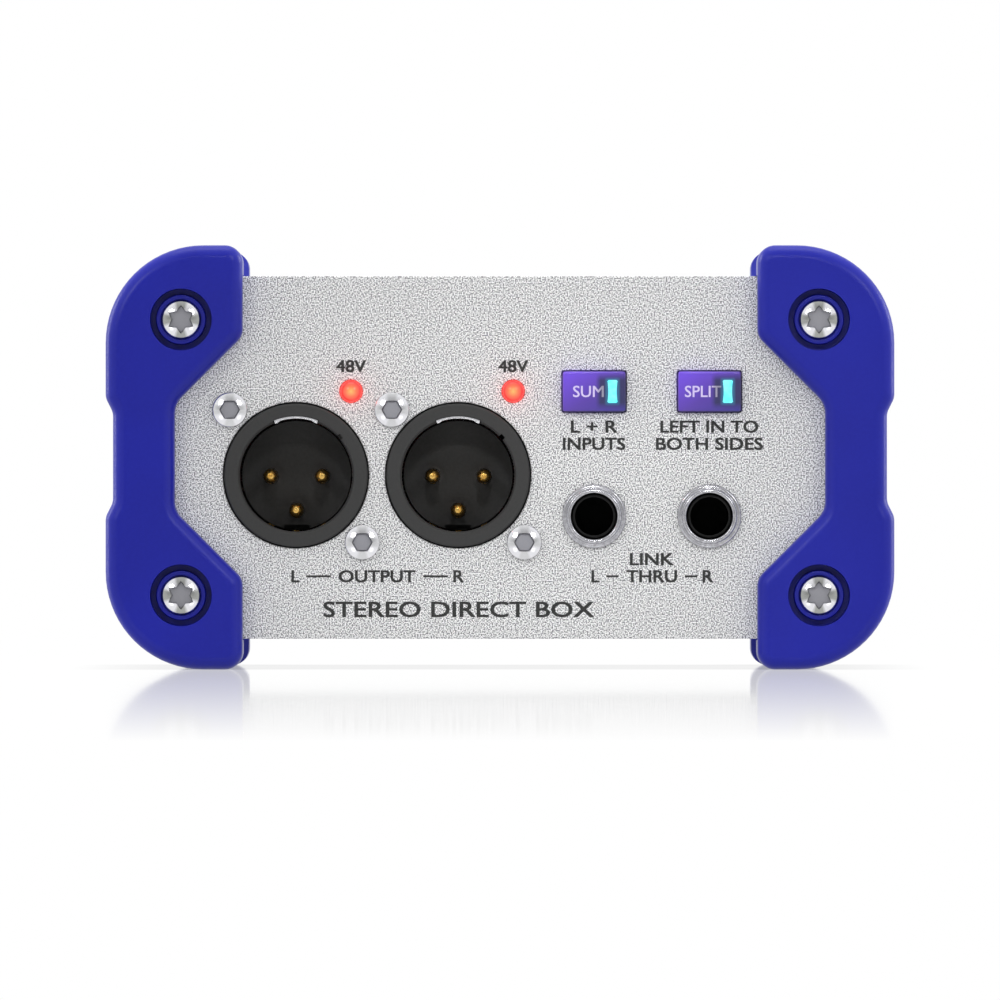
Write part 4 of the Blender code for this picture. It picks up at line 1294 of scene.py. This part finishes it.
def face_map(mesh, button, panel):
    """A UV map that runs from 0 to 1 across and up the cap's face."""
    low, high = local_box(button + "_cap", panel)
    flange = Vector((BUTTON_FLANGE,) * 3)
    low, high = low + flange, high - flange
    to_panel = PANEL[panel].inverted()
    layer = mesh.uv_layers.new(name="face")
    for loop in mesh.loops:
        spot = to_panel @ mesh.vertices[loop.vertex_index].co
        layer.data[loop.index].uv = (
            (spot.x - low.x) / (high.x - low.x), (spot.y - low.y) / (high.y - low.y),
        )


def make_cap(button, panel):
    """A cap with its flange and stem, and the pocket for a light window."""
    low, high = local_box(button + "_cap", panel)
    u, v = place_of(button + "_cap", panel)
    flange_low = BEHIND - BUTTON_FLANGE_THICKNESS
    outline = button_outline(button, panel)
    cap = slab([outline], flange_low + SMALL_GAP, high.z, panel, CAP_RIM, 3)
    flange = block((low.x, low.y, flange_low), (high.x, high.y, BEHIND), panel)
    half = BUTTON_STEM / 2
    stem = block((u - half, v - half, low.z), (u + half, v + half, BEHIND), panel)
    cap = combined(cap, "UNION", flange, stem)
    if button in LIT_BUTTONS:
        outline, depth = window_outline(button, WINDOW_POCKET_GAP)
        pocket = slab([outline], depth - SMALL_GAP, high.z + OVERCUT, panel)
        cap = combined(cap, "DIFFERENCE", pocket)
    face_map(cap, button, panel)
    return cap


def window_outline(button, grow=0.0):
    """The narrow-waisted outline of a light window, and the w of its underside."""
    node = button + "_window"
    u, v = place_of(node, "front")
    half_width, half_height = (half + grow for half in half_size(node, "front"))
    pinch = half_width - WINDOW_WAIST / 2
    right = []
    for i in range(WINDOW_STEPS + 1):
        t = 1 - 2 * i / WINDOW_STEPS
        right.append((half_width - pinch * (1 - t * t), half_height * t))
    right[0] = (half_width - WINDOW_CORNER / 2, half_height)
    right[-1] = (half_width - WINDOW_CORNER / 2, -half_height)
    right.insert(1, (half_width, half_height - WINDOW_CORNER / 2))
    right.insert(-1, (half_width, -half_height + WINDOW_CORNER / 2))
    outline = [(u + a, v + b) for a, b in right] + [(u - a, v + b) for a, b in reversed(right)]
    return outline, local_box(node, "front")[0].z


def make_moulding(node, centre, panel, sleeve, fillet, bore, bore_sides):
    """The moulded body of a jack: block, and a sleeve and a bore of those radii."""
    low, high = local_box(node, panel)
    body = block(low, (high.x, high.y, BEHIND), panel, JACK_BLOCK_EDGE)
    neck = rod(centre, panel, sleeve, BEHIND - OVERCUT, high.z, fillet)
    hole = rod(centre, panel, bore, low.z + JACK_BACK_WALL, high.z + OVERCUT, 0, bore_sides)
    return combined(combined(body, "UNION", neck), "DIFFERENCE", hole)


def make_ferrule(jack, panel):
    """The plated ferrule: spigot through the panel, flange and raised step, edges rounded."""
    low, high = local_box(jack + "_ferrule", panel)
    flange = (high.x - low.x) / 2
    shelf = GAP + JACK_FLANGE_THICKNESS
    return turned(
        [
            (JACK_STEP_RADIUS, high.z, 0.00032),
            (JACK_STEP_RADIUS, shelf, 0.00015),
            (flange, shelf, 0.00035),
            (flange, GAP, 0.0001),
            (JACK_SPIGOT_RADIUS, GAP, 0),
            (JACK_SPIGOT_RADIUS, low.z, 0),
            (JACK_FERRULE_BORE, low.z, 0),
            (JACK_FERRULE_BORE, high.z, 0.0003),
        ],
        place_of(jack + "_ferrule", panel), panel, FINE_SIDES,
    )


def make_mini_nut(centre):
    """The ring nut of the 3.5 mm jack, with a slot in either side of its rim."""
    low, high = local_box("mini_jack_nut", "rear")
    bore = MINI_SLEEVE_RADIUS + SMALL_GAP
    radius = (high.x - low.x) / 2
    profile = [
        (radius, high.z, MINI_EDGE), (radius, low.z, MINI_EDGE / 2),
        (bore, low.z, 0), (bore, high.z, MINI_EDGE),
    ]
    width, reach, depth = MINI_SLOT
    slots = [
        block((-width / 2, side * radius - reach, high.z - depth),
              (width / 2, side * radius + reach, high.z + OVERCUT), "rear")
        for side in (-1, 1)
    ]
    for slot in slots:
        slot.transform(REAR @ Matrix.Translation((*centre, 0)) @ REAR.inverted())
    return combined(turned(profile, centre, "rear"), "DIFFERENCE", *slots)


def lettering(words, centre, width, panel="front", w=0, height=CAP_HEIGHT, weight=BOLD):
    """A line of plain capitals as thin ink, fitted to a width and a height and centred on (u, v).

    The weight is how far copies of the letters are set apart, which thickens their strokes.
    """
    text = bpy.data.curves.new("words", "FONT")
    text.body = words
    text.resolution_u = 3
    flat = mesh_of_data(text)
    low = [min(vertex.co[i] for vertex in flat.vertices) for i in (0, 1)]
    high = [max(vertex.co[i] for vertex in flat.vertices) for i in (0, 1)]
    solids = []
    for across, up in ((-1, -BOLD_UP), (-1, BOLD_UP), (1, -BOLD_UP), (1, BOLD_UP)):
        shape = bmesh.new()
        shape.from_mesh(flat)
        bmesh.ops.remove_doubles(shape, verts=shape.verts, dist=0.0001)
        for vertex in shape.verts:
            share = [(vertex.co[i] - low[i]) / (high[i] - low[i]) - 0.5 for i in (0, 1)]
            vertex.co.x = share[0] * (width - 2 * weight) + across * weight
            vertex.co.y = share[1] * (height - 2 * BOLD_UP * weight) + up * weight
        raised = bmesh.ops.extrude_face_region(shape, geom=shape.faces[:])
        moved = [item for item in raised["geom"] if isinstance(item, bmesh.types.BMVert)]
        bmesh.ops.translate(shape, verts=moved, vec=(0, 0, PRINT_RISE))
        solids.append(as_mesh(shape))
    solid = combined(solids[0], "UNION", *solids[1:])
    solid.transform(PANEL[panel] @ Matrix.Translation((*centre, w)))
    return solid


def dash(start, end, v, panel):
    """A printed dash between two u."""
    half = DASH_HEIGHT / 2
    return block((start, v - half, 0), (end, v + half, PRINT_RISE), panel)


class DIBOX_OT_stage(bpy.types.Operator):
    """Makes the floor, the soft studio lights and the camera"""

    bl_idname = "di_box.stage"
    bl_label = "Stage"

    def execute(self, context):
        stage = context.scene.di_stage
        known = set(frame["nodes"].values()) | set(frame["bodies"].values())
        for old in list(bpy.data.objects):
            if old not in known:
                bpy.data.objects.remove(old)
        context.scene.view_settings.view_transform = "Standard"

        plane = bpy.data.meshes.new("floor")
        corners = rectangle((0, 0), FLOOR_REACH, FLOOR_REACH)
        plane.from_pydata([(*corner, 0) for corner in corners], [], [(0, 1, 2, 3)])
        plane.materials.append(self.floor_look())
        place_object("floor", plane)

        self.surround(context.scene, stage.surround)
        for name, ((u, y, z), size, power) in SOFTBOXES.items():
            sides = {name + "_left": -1, name + "_right": 1} if u else {name: 0}
            for light, side in sides.items():
                self.softbox(light, (u * side, y, z), size, power)
        self.spot()

        lens = bpy.data.cameras.new("camera")
        lens.sensor_width = SENSOR_WIDTH
        lens.lens = SENSOR_WIDTH * stage.distance / stage.field
        lens.clip_start, lens.clip_end = CLIP
        camera = place_object("camera", lens)
        camera.location = (0, -EDGE_SIZES["depth"] / 2 - stage.distance, stage.height)
        camera.rotation_euler = (math.pi / 2, 0, 0)
        context.scene.camera = camera
        return {"FINISHED"}

    def floor_look(self):
        """White acrylic lit from below: plain white, with a mirror that fades away from the box.

        What the box sees of it by diffuse light is dimmer than what the eye sees.
        """
        made = bpy.data.materials.new("white_acrylic_floor")
        made.use_nodes = True
        tree = made.node_tree
        tree.nodes.clear()
        place = add(tree, "ShaderNodeTexCoord").outputs["Object"]
        away = long(tree, place)
        lit_only = add(tree, "ShaderNodeLightPath").outputs["Is Diffuse Ray"]
        open_air = add(
            tree, "ShaderNodeAmbientOcclusion", {"samples": 8}, {"Distance": 0.012},
        ).outputs["AO"]
        contact = spread(tree, open_air, 0.0, 0.96, 0.7, 1.0)
        shed = spread(tree, lit_only, 0.0, 1.0, 1.0, 0.55)
        strength = calc(tree, "MULTIPLY", contact, shed)
        glow = add(tree, "ShaderNodeEmission", None, {"Color": (1, 1, 1, 1), "Strength": strength})
        gloss = add(tree, "ShaderNodeBsdfGlossy", None, {"Color": (1, 1, 1, 1), "Roughness": 0.03})
        fade = calc(tree, "POWER", spread(tree, away, 0.0, 1.25), 1.7)
        grazing = add(tree, "ShaderNodeLayerWeight", None, {"Blend": 0.5}).outputs["Facing"]
        near = spread(tree, fade, 0.0, 1.0, 0.5, 0.0)
        share = calc(tree, "MULTIPLY", near, calc(tree, "POWER", grazing, 3.0))
        both = add(
            tree, "ShaderNodeMixShader", None,
            {0: share, 1: glow.outputs[0], 2: gloss.outputs[0]},
        )
        add(tree, "ShaderNodeOutputMaterial", None, {"Surface": both.outputs[0]})
        return made

    def surround(self, scene, strength):
        """A white studio that sheds less light from the side that the camera stands on."""
        world = bpy.data.worlds.new("studio")
        world.use_nodes = True
        tree = world.node_tree
        tree.nodes.clear()
        ray = add(tree, "ShaderNodeLightPath").outputs
        plain = add(tree, "ShaderNodeBackground", None, {"Color": (1, 1, 1, 1), "Strength": 1.0})
        seen = add(tree, "ShaderNodeTexCoord").outputs["Generated"]
        axes = add(tree, "ShaderNodeSeparateXYZ", None, {0: seen})
        mirrored = spread(tree, axes.outputs[1], -0.97, -0.6, 0.4, 1.0)
        scattered = spread(tree, axes.outputs[1], -0.98, -0.2, 0.1, 1.55)
        chosen = add(
            tree, "ShaderNodeMix", None,
            {0: ray["Is Diffuse Ray"], 2: mirrored, 3: scattered},
        ).outputs[0]
        level = calc(tree, "MULTIPLY", chosen, strength)
        studio = add(tree, "ShaderNodeBackground", None, {"Color": (1, 1, 1, 1), "Strength": level})
        both = add(
            tree, "ShaderNodeMixShader", None,
            {0: ray["Is Camera Ray"], 1: studio.outputs[0], 2: plain.outputs[0]},
        )
        add(tree, "ShaderNodeOutputWorld", None, {"Surface": both.outputs[0]})
        scene.world = world

    def softbox(self, name, place, size, power):
        """A soft light turned to the middle of the box."""
        data = bpy.data.lights.new(name, "AREA")
        data.shape = "RECTANGLE"
        data.size, data.size_y = size
        self.shine(data, power, place, (0, 0, EDGE_SIZES["height"] / 2))

    def spot(self):
        """A soft-edged spot on the middle of the front, which leaves its ends dimmer."""
        data = bpy.data.lights.new("front_spot", "SPOT")
        middle = Vector((SPOT_PLACE[0], -PANEL_FACE, EDGE_SIZES["height"] / 2))
        data.spot_size = 2 * math.atan(SPOT_REACH / (middle - Vector(SPOT_PLACE)).length)
        data.spot_blend = 1.0
        data.shadow_soft_size = SPOT_RADIUS
        self.shine(data, SPOT_POWER, SPOT_PLACE, middle)

    def shine(self, data, power, place, middle):
        """Puts a light at a place, turned to the middle and hidden from the camera."""
        data.energy = power
        light = place_object(data.name, data)
        light.location = place
        aim = Vector(middle) - Vector(place)
        light.rotation_euler = aim.to_track_quat("-Z", "Y").to_euler()
        light.visible_camera = False


class DIBOX_OT_bumpers(bpy.types.Operator):
    """Makes the two rubber bumpers"""

    bl_idname = "di_box.bumpers"
    bl_label = "Bumpers"

    def execute(self, context):
        rubber = context.scene.di_rubber
        look = moulded_rubber(rubber)
        for name, side in (("bumper_left", -1), ("bumper_right", 1)):
            piece(name + "_moulded", make_bumper(side, rubber.rim), look, ROOT, [name])
        return {"FINISHED"}


class DIBOX_OT_case(bpy.types.Operator):
    """Makes the two end panels and paints the case sleeve"""

    bl_idname = "di_box.case"
    bl_label = "Case and Panels"

    def execute(self, context):
        look = grained_silver(context.scene.di_panel)
        keep(["case_sleeve"], look)
        rounds = [(xlr + "_insert", "front", XLR_FACE_RADIUS, FINE_SIDES) for xlr in XLRS]
        rounds += [(lamp, "front", lens_radius(lamp) + SMALL_GAP, SMALL_SIDES) for lamp in LAMPS]
        rounds += [(screw, "front", XLR_SCREW_HOLE_RADIUS, SMALL_SIDES) for screw in XLR_SCREWS]
        rounds.append(("mini_jack_nut", "rear", MINI_SLEEVE_RADIUS + GAP, SMALL_SIDES))
        for jack, panel in JACKS.items():
            rounds.append((jack + "_ferrule", panel, JACK_SPIGOT_RADIUS + GAP, SIDES))
        holes = {panel: [] for panel in PANEL}
        for node, panel, radius, sides in rounds:
            holes[panel].append(circle(place_of(node, panel), radius, sides))
        for button, panel in BUTTONS.items():
            holes[panel].append(button_outline(button, panel, BUTTON_SLACK))
        for panel in PANEL:
            node, mesh = panel + "_panel", make_panel(panel, holes[panel])
            piece(node + "_painted", mesh, look, ROOT, [node])
        return {"FINISHED"}


class DIBOX_OT_bumper_screws(bpy.types.Operator):
    """Makes the eight bumper screws from geometry nodes"""

    bl_idname = "di_box.bumper_screws"
    bl_label = "Bumper Screws"

    def execute(self, context):
        fittings = context.scene.di_fittings
        look = bright_plate(fittings)
        low, high = local_box("bumper_screw_front_upper_left", "front")
        mesh = screws_mesh(
            BUMPER_SCREWS.items(), Head_Radius=(high.x - low.x) / 2, Head_Height=SCREW_HEAD_HEIGHT,
            Crown=0.45, Shank_Radius=SCREW_SHANK_RADIUS,
            Shank_Length=high.z - low.z - SCREW_HEAD_HEIGHT, Recess_Tip=fittings.star_tip,
            Recess_Root=fittings.star_root, Recess_Depth=fittings.star_depth, Recess_Rim=STAR_RIM,
            # the last strength given below is that of the painted wedge reflection on the heads
            Recess_Turn=math.pi / 2, Turning_Marks=1.0, Sides=SIDES, Material=look,
        )
        piece("bumper_screws", mesh, look, ROOT, list(BUMPER_SCREWS))
        return {"FINISHED"}


class DIBOX_OT_connector_screws(bpy.types.Operator):
    """Makes the four hexagon-socket screws of the connectors from geometry nodes"""

    bl_idname = "di_box.connector_screws"
    bl_label = "Connector Screws"

    def execute(self, context):
        fittings = context.scene.di_fittings
        look = bright_plate(fittings)
        low, high = local_box(XLR_SCREWS[0], "front")
        head_height = high.z - GAP
        flats = fittings.hex_flats / 2
        mesh = screws_mesh(
            [(screw, "front") for screw in XLR_SCREWS], Head_Radius=(high.x - low.x) / 2,
            Head_Height=head_height, Crown=0.55, Shank_Radius=XLR_SCREW_SHANK_RADIUS,
            Shank_Length=high.z - low.z - head_height, Recess_Tip=flats / math.cos(math.pi / 6),
            Recess_Root=flats, Recess_Depth=fittings.hex_depth, Recess_Rim=HEX_RIM,
            # the last strength given below is that of the painted wedge reflection on the heads
            Recess_Turn=0.0, Turning_Marks=0.35, Sides=SIDES, Material=look,
        )
        piece("connector_screws", mesh, look, ROOT, XLR_SCREWS)
        return {"FINISHED"}


class DIBOX_OT_connectors(bpy.types.Operator):
    """Makes the two XLR connectors"""

    bl_idname = "di_box.connectors"
    bl_label = "XLR Connectors"

    def execute(self, context):
        fittings = context.scene.di_fittings
        shell = filled_nylon("shell_nylon", fittings.shell, linear("#202020"), 0.5)
        black = filled_nylon("insert_nylon", linear("#323232"), linear("#2C2C2C"), 0.6)
        gold = gold_plate(fittings)
        steel = spring_steel(fittings)
        for xlr in XLRS:
            piece(xlr + "_cup", make_xlr(xlr), shell, ROOT, [xlr + "_shell"])
            node = xlr + "_insert"
            piece(xlr + "_contact_carrier", make_insert(xlr), black, ROOT, [node])
            for number in PINS:
                node = f"{xlr}_pin_{number}"
                piece(node + "_plated", make_pin(xlr, number), gold, ROOT, [node])
            node = xlr + "_ground_spring"
            piece(node + "_strip", make_spring(xlr), steel, ROOT, [node])
        return {"FINISHED"}


class DIBOX_OT_lamps(bpy.types.Operator):
    """Makes the two phantom-power lamps"""

    bl_idname = "di_box.lamps"
    bl_label = "Lamps"

    def execute(self, context):
        lights = context.scene.di_lights
        look = glowing_lamp(lights)
        for lamp in LAMPS:
            piece(lamp + "_lens", make_lamp(lamp), look, ROOT, [lamp])
            glow = bpy.data.lights.new(lamp + "_glow", "POINT")
            glow.color = lights.lamp
            glow.energy = LAMP_GLOW_POWER * lights.strength
            glow.shadow_soft_size = SMALL_GAP
            shining = place_object(glow.name, glow)
            shining.location = FRONT @ Vector((*place_of(lamp, "front"), LAMP_GLOW_OUT))
        return {"FINISHED"}


class DIBOX_OT_buttons(bpy.types.Operator):
    """Makes the four push-button caps, each on its own body, with their windows and words"""

    bl_idname = "di_box.buttons"
    bl_label = "Push-Buttons"

    def execute(self, context):
        lights = context.scene.di_lights
        caps = {True: tinted_cap(lights, True), False: tinted_cap(lights, False)}
        window = glowing_window(lights)
        ink = self.cap_ink()
        for button, panel in BUTTONS.items():
            lit = button in LIT_BUTTONS
            cap, pane = button + "_cap", button + "_window"
            key = make_cap(button, panel)
            piece(button + "_key", key, caps[lit], button, [cap])
            if not lit:
                continue
            outline, low = window_outline(button)
            high = local_box(pane, panel)[1].z
            light = slab([outline], low, high, panel, WINDOW_RIM, 1)
            piece(button + "_light", light, window, button, [pane])
            word, width, start = CAP_WORDS[button]
            u, v = place_of(cap, panel)
            middle = (u + start + width / 2, v)
            text = lettering(word, middle, width, panel, high, CAP_WORD_HEIGHT, CAP_WORD_BOLD)
            face_map(text, button, panel)
            piece(button + "_word", text, ink, button, [], False)
        return {"FINISHED"}

    def cap_ink(self):
        """Pale lilac ink on a translucent cap, with painted shade towards the right, where the light's
        holder lies behind it.
        """
        made, tree, shader = material("lilac_print", linear("#E2D8FF"), 0.6)
        painted_shade_right = spread(tree, across_face(tree)[0], 0.5, 0.62)
        colour = blend(tree, painted_shade_right, linear("#E2D4FF"), linear("#A09CB4"))
        tree.links.new(colour, shader.inputs["Base Color"])
        return made


class DIBOX_OT_jacks(bpy.types.Operator):
    """Makes the four 1/4 inch jacks and the 3.5 mm jack"""

    bl_idname = "di_box.jacks"
    bl_label = "Jacks"

    def execute(self, context):
        plate = dull_nickel(context.scene.di_fittings)
        black = filled_nylon(
            "jack_nylon", linear("#0E0E0E"), linear("#080808"), 0.5, Specular_IOR_Level=0.2,
        )
        for jack, panel in JACKS.items():
            body, ring = jack + "_body", jack + "_ferrule"
            mesh = make_moulding(
                body, place_of(ring, panel), panel,
                JACK_SLEEVE_RADIUS, JACK_SLEEVE_EDGE, JACK_BORE_RADIUS, SIDES,
            )
            piece(jack + "_moulding", mesh, black, ROOT, [body])
            piece(jack + "_ring", make_ferrule(jack, panel), plate, ROOT, [ring])
        body, nut = "mini_jack_body", "mini_jack_nut"
        centre = place_of(nut, "rear")
        mesh = make_moulding(
            body, centre, "rear", MINI_SLEEVE_RADIUS, MINI_EDGE, MINI_BORE_RADIUS, SMALL_SIDES,
        )
        piece("mini_jack_moulding", mesh, black, ROOT, [body])
        piece("mini_jack_ring", make_mini_nut(centre), plate, ROOT, [nut])
        return {"FINISHED"}


class DIBOX_OT_legends(bpy.types.Operator):
    """Prints the plain words that say what each socket and button does"""

    bl_idname = "di_box.legends"
    bl_label = "Legends"

    def execute(self, context):
        words = context.scene.di_print
        ink = print_ink("panel_print", words.ink)
        front = []
        for lamp in LAMPS:
            u, v = place_of(lamp, "front")
            front.append(lettering("48V", (u, v + LAMP_WORD_RISE), LAMP_WORD_WIDTH))
        for button, rows in BUTTON_ROWS.items():
            u, v = place_of(button + "_cap", "front")
            for index, (row, width) in enumerate(rows):
                place = (u, v - BUTTON_WORD_DROP - ROW_PITCH * index)
                front.append(lettering(row, place, width))
        row_v = place_of("xlr_left_insert", "front")[1] - SOCKET_ROW_DROP
        outputs = self.middle("xlr_{}_insert", "front")
        links = self.middle("link_jack_{}_ferrule", "front")
        inputs = self.middle("input_jack_{}_ferrule", "rear")
        front += self.pair(words.outputs, 0.0130, 0.0042, (outputs, row_v), "front")
        front += self.pair(words.thru, 0.0086, 0.0021, (links, row_v), "front")
        front.append(lettering("LINK", (links, row_v + ROW_PITCH), 0.0074))
        place = (outputs + TITLE_PLACE[0], row_v + TITLE_PLACE[1])
        height, width = TITLE_SIZE
        front.append(lettering(words.title, place, width, height=height))
        rear = self.pair(words.inputs, 0.0112, 0.0021, (inputs, row_v), "rear", -1)
        for button, (word, width) in REAR_WORDS.items():
            u = place_of(button + "_cap", "rear")[0]
            rear.append(lettering(word, (u, row_v), width, "rear"))
        for panel, made in (("front", front), ("rear", rear)):
            piece(panel + "_legends", joined(*made), ink, ROOT, [], False)
        return {"FINISHED"}

    def middle(self, node, panel):
        """The u halfway between the left and the right one of a pair of nodes."""
        return sum(place_of(node.format(side), panel)[0] for side in ("left", "right")) / 2

    def pair(self, word, width, dash_length, place, panel, left_side=1):
        """L - WORD - R between two sockets. left_side is -1 where the left one is on the right."""
        u, v = place
        near = width / 2 + DASH_GAP
        far = near + dash_length
        made = [lettering(word, place, width, panel)]
        for letter, side in (("L", -left_side), ("R", left_side)):
            spot = (u + side * (far + LETTER_GAP), v)
            made.append(lettering(letter, spot, LETTER_WIDTHS[letter], panel))
        made += [dash(u - far, u - near, v, panel), dash(u + near, u + far, v, panel)]
        return made


class DIBOX_OT_boards(bpy.types.Operator):
    """Gives the boards, switches and chips inside the case their finishes"""

    bl_idname = "di_box.boards"
    bl_label = "Boards"

    def execute(self, context):
        keep(["main_board", "switch_board"], solder_mask())
        keep(["capacitor_left", "capacitor_right"], drawn_can())
        epoxy = filled_nylon("moulded_epoxy", linear("#1A1A1C"), linear("#121214"), 0.45)
        keep(["amplifier_chip_left", "amplifier_chip_right", "board_header"], epoxy)
        keep([button + "_switch" for button in BUTTONS], epoxy)
        return {"FINISHED"}


OPERATORS = (
    DIBOX_OT_stage,
    DIBOX_OT_case,
    DIBOX_OT_bumpers,
    DIBOX_OT_bumper_screws,
    DIBOX_OT_connectors,
    DIBOX_OT_connector_screws,
    DIBOX_OT_lamps,
    DIBOX_OT_buttons,
    DIBOX_OT_jacks,
    DIBOX_OT_legends,
    DIBOX_OT_boards,
)


class DIBOX_PT_pieces(bpy.types.Panel):
    """Lists the pieces of the box"""

    bl_idname = "DIBOX_PT_pieces"
    bl_label = "Direct Injection Box"
    bl_space_type = "VIEW_3D"
    bl_region_type = "UI"
    bl_category = "DI Box"

    def draw(self, context):
        for operator in OPERATORS:
            self.layout.operator(operator.bl_idname)
        for name, group in SETTINGS.items():
            box = self.layout.box()
            box.label(text=group.__doc__)
            for key in group.__annotations__:
                box.prop(getattr(context.scene, name), key)


CLASSES = (*SETTINGS.values(), *OPERATORS, DIBOX_PT_pieces)


def register():
    for item in CLASSES:
        bpy.utils.register_class(item)
    for name, group in SETTINGS.items():
        setattr(bpy.types.Scene, name, PointerProperty(type=group))


def unregister():
    for name in SETTINGS:
        delattr(bpy.types.Scene, name)
    for item in reversed(CLASSES):
        bpy.utils.unregister_class(item)


def main():
    register()
    for operator in OPERATORS:
        family, name = operator.bl_idname.split(".")
        getattr(getattr(bpy.ops, family), name)()


if __name__ == "__main__":
    main()
